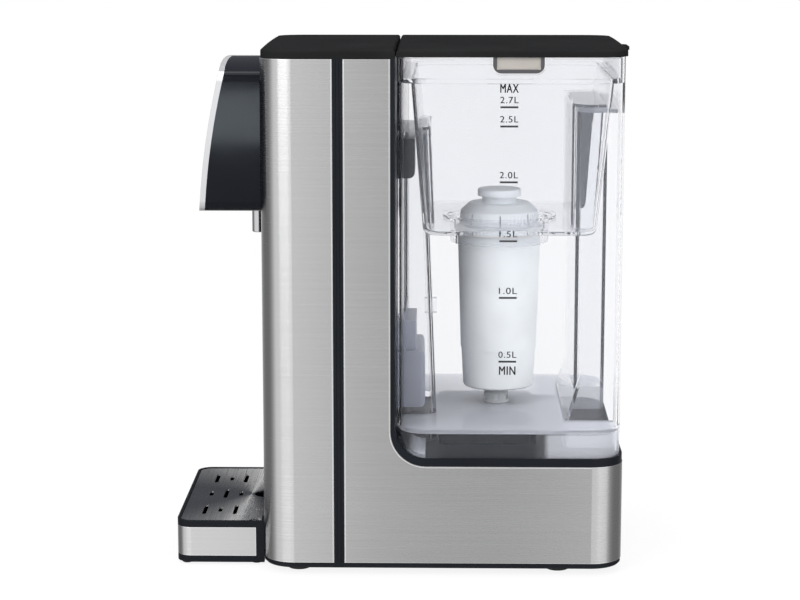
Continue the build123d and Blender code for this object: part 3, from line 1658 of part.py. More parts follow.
# Power board with its parts, on posts from the pan
power_front = 72.0
power_back = 120.0
power_half_width = 48.0
power_high = 14.0
power_post = 3.0
relay_sizes = (16.0, 20.0, 14.0)
coil_sizes = (24.0, 28.0, 22.0)
can_radius = 7.0
can_height = 24.0
can_count = 2
with BuildPart() as power_board:
    box_between(
        (power_front, -power_half_width, power_high),
        (power_back, power_half_width, power_high + board_thickness),
    )
    with BuildSketch(Plane.XY.offset(pan_floor_high)):
        with Locations(((power_front + power_back) / 2, 0)):
            with GridLocations(
                power_back - power_front - 4 * power_post,
                2 * power_half_width - 4 * power_post, 2, 2,
            ):
                Circle(power_post)
    extrude(amount=power_high - pan_floor_high)
save("power_board", power_board.part)

power_face = power_high + board_thickness
with BuildPart() as board_parts:
    with BuildSketch(Plane.XY.offset(power_face)):
        with Locations((power_front + coil_sizes[0], -power_half_width / 2)):
            Rectangle(coil_sizes[0], coil_sizes[1])
    extrude(amount=coil_sizes[2])
    with BuildSketch(Plane.XY.offset(power_face)):
        with Locations((power_front + coil_sizes[0], power_half_width / 4)):
            Rectangle(relay_sizes[0], relay_sizes[1])
    extrude(amount=relay_sizes[2])
    with BuildSketch(Plane.XY.offset(power_face)):
        with Locations((power_front + coil_sizes[0], power_half_width - 2 * can_radius)):
            with GridLocations(3 * can_radius, 0, can_count, 1):
                Circle(can_radius)
    extrude(amount=can_height)
save("board_parts", board_parts.part)

# Cable gland in the back of the base
gland_flange_radius = 10.5
gland_flange = 2.6
gland_bore = 3.8
gland_neck = 9.0
gland_nut = 4.0
with BuildPart() as cable_gland:
    with BuildSketch(Plane.YZ.offset(body_back)):
        with Locations((0, gland_high)):
            Circle(gland_flange_radius)
    extrude(amount=gland_flange)
    with BuildSketch(Plane.YZ.offset(body_back - gland_neck)):
        with Locations((0, gland_high)):
            Circle(gland_hole_radius - flat_gap)
    extrude(amount=gland_neck)
    fillet(cable_gland.faces().sort_by(Axis.X)[-1].edges(), motor_edge)
    with BuildSketch(Plane.YZ.offset(body_back - gland_neck)):
        with Locations((0, gland_high)):
            Circle(gland_bore)
    extrude(amount=gland_neck + 2 * gland_flange, mode=Mode.SUBTRACT)
save("cable_gland", cable_gland.part)

with BuildPart() as gland_nut_ring:
    with BuildSketch(Plane.YZ.offset(body_back - skin_inset - shell_wall - gland_nut)):
        with Locations((0, gland_high)):
            RegularPolygon(gland_flange_radius, 6)
            Circle(gland_hole_radius - flat_gap + shaft_gap, mode=Mode.SUBTRACT)
    extrude(amount=gland_nut)
save("gland_nut", gland_nut_ring.part)

# Screws: pan to shell, and head to shell
with BuildPart() as base_screws:
    with BuildSketch(Plane.XY.offset(foot_height + piece_gap)):
        with Locations(*post_places):
            Circle(screw_head_radius)
    extrude(amount=screw_head - piece_gap)
    with BuildSketch(Plane.XY.offset(foot_height + screw_head)):
        with Locations(*post_places):
            Circle(screw_radius)
    extrude(amount=screw_length)
save("base_screws", base_screws.part)

head_screw_radius = 1.2
head_screw_face = body_front + skin_inset + shell_wall
with BuildPart() as head_screws:
    with BuildSketch(Plane.YZ.offset(head_screw_face)):
        with Locations(*head_screw_places):
            Circle(screw_head_radius)
    extrude(amount=screw_head)
    with BuildSketch(Plane.YZ.offset(head_screw_face)):
        with Locations(*head_screw_places):
            Circle(head_screw_radius)
    extrude(amount=-head_boss_length)
save("head_screws", head_screws.part)
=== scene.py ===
import math

import bmesh
import bpy
from bpy.props import FloatProperty, FloatVectorProperty, PointerProperty
from mathutils import Matrix, Vector


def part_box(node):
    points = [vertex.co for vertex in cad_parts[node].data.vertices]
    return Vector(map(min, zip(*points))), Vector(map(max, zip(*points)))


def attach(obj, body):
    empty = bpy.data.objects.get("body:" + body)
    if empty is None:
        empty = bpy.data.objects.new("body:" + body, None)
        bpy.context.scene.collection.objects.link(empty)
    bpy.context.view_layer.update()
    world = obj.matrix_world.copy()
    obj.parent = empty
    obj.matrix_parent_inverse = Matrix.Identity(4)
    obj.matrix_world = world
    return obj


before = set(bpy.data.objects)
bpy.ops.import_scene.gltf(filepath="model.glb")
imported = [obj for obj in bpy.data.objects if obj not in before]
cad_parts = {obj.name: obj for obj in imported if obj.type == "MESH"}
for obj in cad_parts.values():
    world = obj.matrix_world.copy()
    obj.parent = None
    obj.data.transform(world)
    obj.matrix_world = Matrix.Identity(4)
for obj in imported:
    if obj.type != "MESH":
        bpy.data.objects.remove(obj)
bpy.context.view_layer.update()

bl_info = {
    "name": "Hot Water Dispenser",
    "version": (1, 0, 0),
    "blender": (4, 5, 0),
    "location": "View3D > Sidebar > Dispenser",
    "description": "Finishes, printed marks and studio for a countertop hot water dispenser",
    "category": "Object",
}

TANK_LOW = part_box("water_tank")[0]
SIDE_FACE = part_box("front_wrap")[1].y

# Places and sizes in metres, in the frame's axes

LITRE_MARKS = (
    (0.2769, "2.7L"), (0.2659, "2.5L"), (0.2338, "2.0L"),
    (0.1996, "1.5L"), (0.1664, "1.0L"), (0.1287, "0.5L"),
)
NUMBER_WIDTH = 0.0104
# foot, text and width of the words at the ends of the scale
END_WORDS = ((0.2852, "MAX", 0.0104), (0.1209, "MIN", 0.0094))

# three points X and Z on the touch panel's face, and the middle of its bulge across
PANEL_ARC = ((-0.1218, 0.2112), (-0.1183, 0.2484), (-0.1072, 0.3033))
PANEL_BULGE_CENTRE = 0.54595
KEY_LEVEL = 0.236
# each key's Y and the size of the drop in it
KEYS = ((-0.044, 0.0016), (-0.0225, 0.0021), (0.0225, 0.0026), (0.044, 0.0031))
DISPLAY_LEVELS = (0.2585, 0.2745)
DISPLAY_HALF = 0.020

ELBOW_RADIUS = 0.021
POST_EDGE = TANK_LOW.x - 0.0035
DECK_EDGE = 0.066
SIDE_CORNER = 0.019
EDGE_BEAD = 0.0007
# how far a bead stands out of the sheet, so that the two faces don't flicker
BEAD_PROUD = 0.00003
GRIP_BORDER = 0.0022
# the tank's foot: where it begins along X, its top, and how thick its veil is
TANK_FOOT = (0.083, 0.0850, 0.28)
CAP_SLITS = 8
CAP_SLIT_HEIGHTS = (0.1965, 0.2062)


# Settings

def colour(name, description, default):
    return FloatVectorProperty(
        name=name, description=description, default=default, subtype="COLOR", size=3, min=0, max=1
    )


def length(name, description, default):
    return FloatProperty(
        name=name, description=description, default=default, unit="LENGTH", min=0, precision=5
    )


def share(name, description, default):
    return FloatProperty(
        name=name, description=description, default=default, subtype="FACTOR", min=0, max=1
    )


class DispenserFinishes(bpy.types.PropertyGroup):
    """Colours and surface qualities of the dispenser's materials"""

    steel: colour("Steel", "Brushed steel sheet", (0.50, 0.50, 0.50))
    # the edge colour is a painted highlight along the steel's edges
    steel_edge_highlight: colour("Steel edge highlight", "Steel edge lightened as a painted highlight", (0.86, 0.86, 0.86))
    steel_rough: share("Steel roughness", "Roughness of the brushed steel", 0.23)
    cover_black: colour("Cover black", "Top cover and lid", (0.0130, 0.0132, 0.0136))
    black: colour("Black plastic", "Base, cradle and tray", (0.0052, 0.0068, 0.0096))
    gloss_black: colour("Gloss black", "Polished black of the spout head", (0.0038, 0.0048, 0.0080))
    panel: colour("Touch panel", "Smoked touch panel", (0.0040, 0.0046, 0.0066))
    chrome: colour("Bright trim", "Bezel and spout", (0.52, 0.52, 0.53))
    clear: colour("Clear plastic", "Tank and funnel", (0.982, 0.984, 0.992))
    smoked: colour("Smoked grip", "Grip in the tank's rim", (0.33, 0.31, 0.285))
    smoked_rim: colour("Grip border", "Border round the grip", (0.055, 0.053, 0.058))
    filter_white: colour("Filter", "Filter cartridge and cap", (0.80, 0.83, 0.84))
    print_black: colour("Print", "Printed litre scale", (0.012, 0.012, 0.014))
    panel_print: colour("Panel print", "Touch key marks", (0.62, 0.64, 0.66))
    rubber: colour("Rubber", "Feet and seals", (0.018, 0.018, 0.019))


class DispenserMarks(bpy.types.PropertyGroup):
    """Sizes and places of the printed marks"""

    tick_front: length("Tick front", "Where the ticks begin along the tank", 0.0565)
    tick_back: length("Tick back", "Where the ticks end along the tank", 0.0668)
    tick_weight: length("Tick weight", "Thickness of a tick", 0.0011)
    number_height: length("Number height", "Height of the litre numbers", 0.0037)
    word_height: length("Word height", "Height of the words at both ends of the scale", 0.0050)
    number_bold: length("Number weight", "How far the numbers are thickened to each side", 0.00005)
    word_bold: length("Word weight", "How far the words are thickened to each side", 0.00013)
    number_gap: length("Number gap", "Gap between a tick and its number", 0.0023)
    print_thickness: length("Print thickness", "How far the print stands on the tank", 0.00008)
    key_radius: length("Key radius", "Radius of a touch key's ring", 0.0058)
    key_line: length("Key line", "Line weight of the touch key marks", 0.00055)


class DispenserStage(bpy.types.PropertyGroup):
    """Camera, floor and light"""

    lens: FloatProperty(
        name="Lens", description="Focal length on a 36 mm sensor", default=100.0,
        unit="CAMERA", min=1,
    )
    camera_place: FloatVectorProperty(
        name="Camera place", description="Where the camera stands",
        default=(0.0231, -1.3543, 0.3858), subtype="TRANSLATION", unit="LENGTH", size=3,
    )
    pitch: FloatProperty(
        name="Pitch", description="Camera's angle below the horizon", default=0.172084,
        subtype="ANGLE",
    )
    yaw: FloatProperty(
        name="Yaw", description="Camera's turn towards the tray", default=0.0188485,
        subtype="ANGLE",
    )
    backdrop: colour("Backdrop", "Plain background", (1.0, 1.0, 1.0))
    floor: colour("Floor", "Plain floor", (0.86, 0.86, 0.86))
    floor_glow: share("Floor glow", "How much of the floor is shown as backdrop", 0.88)


def settings():
    return bpy.context.scene.dispenser_finishes


def marks():
    return bpy.context.scene.dispenser_marks


# Shared effects as node groups

def new_group(name, inputs, outputs):
    """Starts a shader node group with named sockets and returns it with its two end nodes."""
    group = bpy.data.node_groups.new(name, "ShaderNodeTree")
    for label, kind, value in inputs:
        socket = group.interface.new_socket(name=label, in_out="INPUT", socket_type=kind)
        if value is not None:
            socket.default_value = value
    for label, kind in outputs:
        group.interface.new_socket(name=label, in_out="OUTPUT", socket_type=kind)
    return group, group.nodes.new("NodeGroupInput"), group.nodes.new("NodeGroupOutput")


def feed(tree, node, label, value):
    """Gives a node's input a number, or links a socket to it."""
    if hasattr(value, "links"):
        tree.links.new(value, node.inputs[label])
    else:
        node.inputs[label].default_value = value


def math_node(tree, operation, first, second=None):
    """Adds a Math node; each argument is a number or a socket."""
    node = tree.nodes.new("ShaderNodeMath")
    node.operation = operation
    feed(tree, node, 0, first)
    if second is not None:
        feed(tree, node, 1, second)
    return node.outputs[0]


def noise_node(tree, vector, scale, detail, rough):
    node = tree.nodes.new("ShaderNodeTexNoise")
    for label, value in (
        ("Vector", vector), ("Scale", scale), ("Detail", detail), ("Roughness", rough),
    ):
        feed(tree, node, label, value)
    return node.outputs["Fac"]


def spread(tree, value, low, high, to_low=0.0, to_high=1.0):
    """Maps a range of values to another, with ends held."""
    node = tree.nodes.new("ShaderNodeMapRange")
    for label, number in (
        ("Value", value), ("From Min", low), ("From Max", high),
        ("To Min", to_low), ("To Max", to_high),
    ):
        feed(tree, node, label, number)
    return node.outputs["Result"]


def mixed(tree, factor, first, second):
    """Mixes two colours by a factor; a colour is three numbers or a socket."""
    node = tree.nodes.new("ShaderNodeMix")
    node.data_type = "RGBA"
    feed(tree, node, "Factor", factor)
    # the colour sockets share their names with those of the other data types
    for index, value in ((6, first), (7, second)):
        feed(tree, node, index, value if hasattr(value, "links") else (*value, 1))
    return node.outputs[2]


def blended(tree, factor, first, second):
    """Mixes two shaders by a factor."""
    node = tree.nodes.new("ShaderNodeMixShader")
    for index, value in enumerate((factor, first, second)):
        feed(tree, node, index, value)
    return node.outputs[0]


def place_on(tree):
    """The point on the piece, in metres."""
    return tree.nodes.new("ShaderNodeTexCoord").outputs["Object"]


def split(tree, vector):
    """The X, Y and Z of a vector, as a node's outputs."""
    node = tree.nodes.new("ShaderNodeSeparateXYZ")
    tree.links.new(vector, node.inputs[0])
    return node.outputs


def shade(tint, factor, lift=0.0):
    """A tint made lighter or darker."""
    return tuple(min(c * factor + lift, 1) for c in tint)


def brushed_grain():
    """Long fine scratches along a sheet, and the slow cloudiness of rolled steel."""
    name = "Brushed Grain"
    if name in bpy.data.node_groups:
        return bpy.data.node_groups[name]
    group, start, end = new_group(
        name,
        [
            ("Stretch", "NodeSocketVector", (14.0, 14.0, 2400.0)),
            ("Cloud Scale", "NodeSocketFloat", 16.0),
        ],
        [("Streaks", "NodeSocketFloat"), ("Cloud", "NodeSocketFloat")],
    )
    place = place_on(group)
    scaled = group.nodes.new("ShaderNodeVectorMath")
    scaled.operation = "MULTIPLY"
    group.links.new(place, scaled.inputs[0])
    group.links.new(start.outputs["Stretch"], scaled.inputs[1])
    fine = noise_node(group, scaled.outputs[0], 1.0, 6.0, 0.72)
    coarse = noise_node(group, scaled.outputs[0], 0.31, 3.0, 0.6)
    fine_part = math_node(group, "MULTIPLY", fine, 0.65)
    both = math_node(group, "ADD", fine_part, math_node(group, "MULTIPLY", coarse, 0.35))
    group.links.new(spread(group, both, 0.3, 0.7), end.inputs["Streaks"])
    cloud = noise_node(group, place, start.outputs["Cloud Scale"], 3.0, 0.5)
    group.links.new(spread(group, cloud, 0.32, 0.68), end.inputs["Cloud"])
    return group


def moulded_skin():
    """The fine grain and faint flow marks of a moulded surface."""
    name = "Moulded Skin"
    if name in bpy.data.node_groups:
        return bpy.data.node_groups[name]
    group, start, end = new_group(
        name,
        [("Grain Scale", "NodeSocketFloat", 2600.0), ("Flow Scale", "NodeSocketFloat", 22.0)],
        [("Grain", "NodeSocketFloat"), ("Flow", "NodeSocketFloat")],
    )
    place = place_on(group)
    grain = noise_node(group, place, start.outputs["Grain Scale"], 2.0, 0.5)
    flow = noise_node(group, place, start.outputs["Flow Scale"], 3.0, 0.5)
    group.links.new(grain, end.inputs["Grain"])
    group.links.new(spread(group, flow, 0.3, 0.7), end.inputs["Flow"])
    return group


def edge_highlight_mask():
    """A mask that is white along sharp edges, where a painted highlight is laid."""
    name = "Edge Wear"
    if name in bpy.data.node_groups:
        return bpy.data.node_groups[name]
    group, start, end = new_group(
        name,
        [("Radius", "NodeSocketFloat", 0.0004), ("Contrast", "NodeSocketFloat", 6.0)],
        [("Edge", "NodeSocketFloat")],
    )
    bevel = group.nodes.new("ShaderNodeBevel")
    bevel.samples = 4
    group.links.new(start.outputs["Radius"], bevel.inputs["Radius"])
    flat = group.nodes.new("ShaderNodeNewGeometry")
    dot = group.nodes.new("ShaderNodeVectorMath")
    dot.operation = "DOT_PRODUCT"
    group.links.new(bevel.outputs["Normal"], dot.inputs[0])
    group.links.new(flat.outputs["Normal"], dot.inputs[1])
    away = math_node(group, "SUBTRACT", 1.0, dot.outputs["Value"])
    strong = math_node(group, "MULTIPLY", away, start.outputs["Contrast"])
    group.links.new(math_node(group, "MINIMUM", strong, 1.0), end.inputs["Edge"])
    return group


def settled_dust():
    """Faint smears that dull a polished surface."""
    name = "Settled Dust"
    if name in bpy.data.node_groups:
        return bpy.data.node_groups[name]
    group, start, end = new_group(
        name, [("Scale", "NodeSocketFloat", 9.0)], [("Smear", "NodeSocketFloat")]
    )
    smear = noise_node(group, place_on(group), start.outputs["Scale"], 6.0, 0.65)
    group.links.new(spread(group, smear, 0.35, 0.75), end.inputs["Smear"])
    return group


def placed(tree, group, **values):
    """Places a node group in a material with its own values."""
    node = tree.nodes.new("ShaderNodeGroup")
    node.node_tree = group
    for label, value in values.items():
        node.inputs[label.replace("_", " ").title()].default_value = value
    return node


def bumped(tree, height, strength, distance):
    """A normal that follows a height."""
    node = tree.nodes.new("ShaderNodeBump")
    for label, value in (("Strength", strength), ("Distance", distance), ("Height", height)):
        feed(tree, node, label, value)
    return node.outputs["Normal"]


def start_material(name):
    """Makes an empty material and returns it with its tree and Principled shader."""
    material = bpy.data.materials.new(name)
    material.use_nodes = True
    tree = material.node_tree
    return material, tree, tree.nodes["Principled BSDF"]


def finish_material(tree, shader, **values):
    """Gives the Principled shader its colour, roughness, normal and other values."""
    for label, value in values.items():
        label = "Specular IOR Level" if label == "Specular" else label.replace("_", " ")
        feed(tree, shader, label, value)


def brushed_steel(name, tint, rough, stretch, edges=True):
    """Brushed sheet with streaks in tone, roughness and relief, and a painted highlight along its
    edges.
    """
    material, tree, shader = start_material(name)
    grain = placed(tree, brushed_grain(), stretch=stretch)
    dust = placed(tree, settled_dust(), scale=7.0)
    streaks = grain.outputs["Streaks"]
    light = shade(tint, 1.06)
    base = mixed(tree, streaks, shade(tint, 0.93), light)
    base = mixed(tree, spread(tree, grain.outputs["Cloud"], 0.0, 1.0, 0.0, 0.12), base, light)
    if edges:
        # painted highlight: the sheet is lightened towards the edge colour along its sharp edges
        edge = placed(tree, edge_highlight_mask(), radius=0.0007, contrast=7.0)
        base = mixed(tree, edge.outputs["Edge"], base, tuple(settings().steel_edge_highlight))
    streak_rough = spread(tree, streaks, 0.0, 1.0, rough * 0.85, rough * 1.2)
    smear = math_node(tree, "MULTIPLY", dust.outputs["Smear"], 0.05)
    # brushed along the sheet, so the shine spreads across the brushing
    around = tree.nodes.new("ShaderNodeTangent")
    around.direction_type = "RADIAL"
    around.axis = "Z"
    finish_material(
        tree, shader, Base_Color=base, Metallic=1.0,
        Roughness=math_node(tree, "ADD", streak_rough, smear),
        Normal=bumped(tree, streaks, 0.10, 0.00003),
        Anisotropic=1.0, Anisotropic_Rotation=0.25, Tangent=around.outputs["Tangent"],
    )
    return material


def moulded_plastic(name, tint, rough, grain=0.15, specular=0.5, grain_scale=2600.0):
    """Moulded plastic with fine grain, flow marks, dust and a painted highlight along its edges."""
    material, tree, shader = start_material(name)
    skin = placed(tree, moulded_skin(), grain_scale=grain_scale)
    dust = placed(tree, settled_dust(), scale=11.0)
    edge = placed(tree, edge_highlight_mask(), radius=0.0005, contrast=3.0)
    base = mixed(tree, skin.outputs["Flow"], shade(tint, 0.9), shade(tint, 1.12, 0.001))
    # painted highlight: the edges are lightened
    painted_edge_highlight = math_node(tree, "MULTIPLY", edge.outputs["Edge"], 0.5)
    vary = spread(tree, skin.outputs["Grain"], 0.3, 0.7, rough * 0.9, rough * 1.12)
    smear = math_node(tree, "MULTIPLY", dust.outputs["Smear"], 0.06)
    finish_material(
        tree, shader, Base_Color=mixed(tree, painted_edge_highlight, base, shade(tint, 1.5, 0.004)),
        Roughness=math_node(tree, "ADD", vary, smear), Specular=specular,
        Normal=bumped(tree, skin.outputs["Grain"], grain, 0.00006),
    )
    return material


def polished_metal(name, tint, rough):
    """Bright plated trim with faint smears and a painted highlight along its edges."""
    material, tree, shader = start_material(name)
    dust = placed(tree, settled_dust(), scale=14.0)
    edge = placed(tree, edge_highlight_mask(), radius=0.0004, contrast=3.0)
    # painted highlight: the edges are lightened
    base = mixed(tree, edge.outputs["Edge"], tint, shade(tint, 1.15))
    smear = math_node(tree, "MULTIPLY", dust.outputs["Smear"], 0.15)
    finish_material(
        tree, shader, Base_Color=mixed(tree, smear, base, shade(tint, 0.9)), Metallic=1.0,
        Roughness=spread(tree, dust.outputs["Smear"], 0.0, 1.0, rough, rough * 1.6),
    )
    return material


# below a real plastic's index, so that the walls bend what lies behind them only a little
CLEAR_INDEX = 1.09
CLEAR_VEIL = 0.028
MILK = (0.66, 0.68, 0.735)


def clear_plastic(name, tint, floor_veil, foot=None):
    """Clear moulding that lets lamps through, with moulding waves, smears and a milky veil."""
    material, tree, shader = start_material(name)
    dust = placed(tree, settled_dust(), scale=8.0)
    skin = placed(tree, moulded_skin(), grain_scale=900.0, flow_scale=30.0)
    finish_material(
        tree, shader, Base_Color=mixed(tree, dust.outputs["Smear"], tint, shade(tint, 0.985)),
        Transmission_Weight=1.0, IOR=CLEAR_INDEX, Roughness=0.0,
        Normal=bumped(tree, skin.outputs["Flow"], 0.01, 0.0004),
    )
    # the veil is thicker on level faces, whose moulded skin is seen along its length
    milk = tree.nodes.new("ShaderNodeBsdfDiffuse")
    milk.inputs["Color"].default_value = (*MILK, 1)
    facing = tree.nodes.new("ShaderNodeNewGeometry")
    level = math_node(tree, "ABSOLUTE", split(tree, facing.outputs["Normal"])["Z"])
    veil = spread(tree, level, 0.75, 0.97, CLEAR_VEIL, floor_veil)
    if foot:
        # the moulded foot behind the valve scatters the light and hides the deck
        start, top, foot_veil = foot
        at = split(tree, place_on(tree))
        there = math_node(
            tree, "MULTIPLY", spread(tree, at["X"], start, start + 0.004),
            spread(tree, at["Z"], top, top - 0.0008),
        )
        veil = math_node(tree, "MAXIMUM", veil, math_node(tree, "MULTIPLY", there, foot_veil))
    milky = blended(tree, veil, shader.outputs[0], milk.outputs[0])
    # lamps and soft light pass straight through
    through = tree.nodes.new("ShaderNodeBsdfTransparent")
    through.inputs["Color"].default_value = (*shade(tint, 0.97), 1)
    ray = tree.nodes.new("ShaderNodeLightPath").outputs
    unbent = math_node(tree, "MAXIMUM", ray["Is Shadow Ray"], ray["Is Diffuse Ray"])
    surface = blended(tree, unbent, milky, through.outputs[0])
    tree.links.new(surface, tree.nodes["Material Output"].inputs["Surface"])
    return material


def rubber_skin(name, tint, rough=0.7):
    """Soft rubber with a powdery, uneven surface."""
    material, tree, shader = start_material(name)
    skin = placed(tree, moulded_skin(), grain_scale=1500.0)
    dust = placed(tree, settled_dust(), scale=20.0)
    base = mixed(tree, skin.outputs["Flow"], tint, shade(tint, 1.25, 0.003))
    powder = math_node(tree, "MULTIPLY", dust.outputs["Smear"], 0.3)
    finish_material(
        tree, shader, Base_Color=mixed(tree, powder, base, shade(tint, 1.4, 0.01)),
        Roughness=spread(tree, skin.outputs["Grain"], 0.3, 0.7, rough * 0.9, rough * 1.15),
        Normal=bumped(tree, skin.outputs["Grain"], 0.3, 0.0001),
    )
    return material


def circuit_coat(name):
    """Green laminate with tracks under the lacquer."""
    material, tree, shader = start_material(name)
    tracks = tree.nodes.new("ShaderNodeTexBrick")
    for label, value in (
        ("Vector", place_on(tree)), ("Scale", 110.0), ("Color1", (0.010, 0.070, 0.028, 1)),
        ("Color2", (0.014, 0.092, 0.036, 1)), ("Mortar", (0.045, 0.170, 0.060, 1)),
    ):
        feed(tree, tracks, label, value)
    skin = placed(tree, moulded_skin())
    flow = math_node(tree, "MULTIPLY", skin.outputs["Flow"], 0.3)
    finish_material(
        tree, shader, Base_Color=mixed(tree, flow, tracks.outputs["Color"], (0.02, 0.12, 0.05)),
        Roughness=spread(tree, skin.outputs["Grain"], 0.3, 0.7, 0.30, 0.42),
        Normal=bumped(tree, tracks.outputs["Fac"], 0.2, 0.0001),
    )
    return material


def flat_print(name, tint, rough):
    """Screen-printed ink, a little uneven."""
    material, tree, shader = start_material(name)
    skin = placed(tree, moulded_skin(), grain_scale=3000.0, flow_scale=120.0)
    finish_material(
        tree, shader, Base_Color=mixed(tree, skin.outputs["Flow"], tint, shade(tint, 1.2, 0.004)),
        Roughness=spread(tree, skin.outputs["Grain"], 0.3, 0.7, rough * 0.85, rough * 1.1),
    )
    return material


def dress(material, *nodes):
    """Gives CAD nodes a material."""
    for name in nodes:
        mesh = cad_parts[name].data
        mesh.materials.clear()
        mesh.materials.append(material)


# Printed marks

def mesh_object(name, form, material, body):
    """Turns a bmesh into a linked piece that rides on its body."""
    mesh = bpy.data.meshes.new(name)
    form.to_mesh(mesh)
    form.free()
    piece = bpy.data.objects.new(name, mesh)
    bpy.context.scene.collection.objects.link(piece)
    mesh.materials.append(material)
    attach(piece, body)


def lettering(text, height, width):
    """Makes one line of lettering in the plane of X and Z, centred on X, standing on zero."""
    curve = bpy.data.curves.new("lettering", "FONT")
    curve.body = text
    curve.space_character = 1.12
    curve.resolution_u = 6
    curve.extrude = 0.01
    holder = bpy.data.objects.new("lettering", curve)
    bpy.context.scene.collection.objects.link(holder)
    bpy.context.view_layer.update()
    seen = holder.evaluated_get(bpy.context.evaluated_depsgraph_get())
    mesh = bpy.data.meshes.new_from_object(seen)
    bpy.data.objects.remove(holder)
    bpy.data.curves.remove(curve)
    xs = [v.co.x for v in mesh.vertices]
    ys = [v.co.y for v in mesh.vertices]
    wide, high = max(xs) - min(xs), max(ys) - min(ys)
    middle, low = (max(xs) + min(xs)) / 2, min(ys)
    thickness = marks().print_thickness
    for v in mesh.vertices:
        v.co = Vector((
            (v.co.x - middle) * width / wide,
            thickness / 2 if v.co.z < 0 else -thickness / 2,
            (v.co.y - low) * height / high,
        ))
    return mesh


def added(form, mesh, shift):
    """Adds a mesh to a bmesh at a shift."""
    mesh.transform(Matrix.Translation(shift))
    form.from_mesh(mesh)
    bpy.data.meshes.remove(mesh)


def bar(form, low, high):
    """Adds a box between two corners."""
    made = bmesh.ops.create_cube(form, size=1.0)
    for v in made["verts"]:
        v.co = Vector(tuple(
            (a + b) / 2 + c * (b - a) for a, b, c in zip(low, high, v.co)
        ))


class DISPENSER_OT_scale(bpy.types.Operator):
    """Prints the litre scale on the tank's side"""

    bl_idname = "dispenser.scale"
    bl_label = "Litre Scale"

    def execute(self, context):
        m = marks()
        form = bmesh.new()
        face = TANK_LOW.y
        out = face - m.print_thickness / 2
        middle = (m.tick_front + m.tick_back) / 2
        for height, text in LITRE_MARKS:
            bar(
                form, (m.tick_front, face - m.print_thickness, height - m.tick_weight / 2),
                (m.tick_back, face + m.print_thickness / 2, height + m.tick_weight / 2),
            )
            for aside in (-m.number_bold, m.number_bold):
                line = lettering(text, m.number_height, NUMBER_WIDTH)
                added(form, line, (middle + aside, out, height + m.number_gap))
        for low, text, width in END_WORDS:
            for aside in (-m.word_bold, 0, m.word_bold):
                word = lettering(text, m.word_height, width)
                added(form, word, (middle + aside, out, low))
        ink = flat_print("Scale Ink", tuple(settings().print_black), 0.5)
        mesh_object("litre_scale", form, ink, "tank")
        return {"FINISHED"}


def arc_through(points):
    """The centre and radius of the circle through three points."""
    (x1, z1), (x2, z2), (x3, z3) = points
    far1, far2, far3 = x1**2 + z1**2, x2**2 + z2**2, x3**2 + z3**2
    d = 2 * (x1 * (z2 - z3) + x2 * (z3 - z1) + x3 * (z1 - z2))
    cx = (far1 * (z2 - z3) + far2 * (z3 - z1) + far3 * (z1 - z2)) / d
    cz = (far1 * (x3 - x2) + far2 * (x1 - x3) + far3 * (x2 - x1)) / d
    return cx, cz, math.hypot(x1 - cx, z1 - cz)


def panel_reach(y, z):
    """The X of the touch panel's face, which curves both in height and across."""
    cx, cz, radius = arc_through(PANEL_ARC)
    reach = PANEL_BULGE_CENTRE - (cx - math.sqrt(radius**2 - (z - cz) ** 2))
    return PANEL_BULGE_CENTRE - math.sqrt(reach**2 - y**2)


def stroke(form, points, weight, closed=False):
    """Adds a printed line through points (y, z) on the touch panel."""
    lift = marks().print_thickness
    count = len(points)
    rows = []
    for i, (y, z) in enumerate(points):
        ahead = points[(i + 1) % count] if closed or i < count - 1 else points[i]
        behind = points[i - 1] if closed or i > 0 else points[i]
        dy, dz = ahead[0] - behind[0], ahead[1] - behind[1]
        size = math.hypot(dy, dz) or 1.0
        ny, nz = -dz / size * weight / 2, dy / size * weight / 2
        rows.append([
            form.verts.new((panel_reach(y + s * ny, z + s * nz) - lift, y + s * ny, z + s * nz))
            for s in (-1, 1)
        ])
    last = count if closed else count - 1
    for i in range(last):
        a, b = rows[i], rows[(i + 1) % count]
        form.faces.new((a[0], b[0], b[1], a[1]))


def ring(y, z, radius, count=48):
    """The points of a circle on the touch panel."""
    return [
        (y + radius * math.cos(math.tau * i / count), z + radius * math.sin(math.tau * i / count))
        for i in range(count)
    ]


def drop(y, z, size, count=28):
    """The points of a water drop on the touch panel: a circle drawn out to a tip."""
    points = []
    for i in range(count):
        across, up = math.cos(math.tau * i / count), math.sin(math.tau * i / count)
        narrow, tall = (1, 1) if up < 0 else (1 - up**2 * 0.55, 1.55)
        points.append((y + size * across * narrow, z - size * 0.3 + size * up * tall))
    return points


class DISPENSER_OT_panel(bpy.types.Operator):
    """Prints plain touch key marks on the head's panel"""

    bl_idname = "dispenser.panel"
    bl_label = "Touch Keys"

    def execute(self, context):
        m = marks()
        form = bmesh.new()
        for y, _ in KEYS:
            stroke(form, ring(y, KEY_LEVEL, m.key_radius), m.key_line, True)
        for y, size in KEYS:
            stroke(form, drop(y, KEY_LEVEL, size), m.key_line, True)
        stroke(form, ring(0, KEY_LEVEL, m.key_radius * 1.35), m.key_line * 1.3, True)
        low, high = DISPLAY_LEVELS
        for z in DISPLAY_LEVELS:
            stroke(form, [(DISPLAY_HALF * i / 5, z) for i in range(-5, 6)], m.key_line)
        for y in (-DISPLAY_HALF, DISPLAY_HALF):
            stroke(form, [(y, low + (high - low) * i / 8) for i in range(9)], m.key_line)
        ink = flat_print("Panel Print", tuple(settings().panel_print), 0.35)
        mesh_object("touch_keys", form, ink, "body")
        return {"FINISHED"}


# Folded steel edges

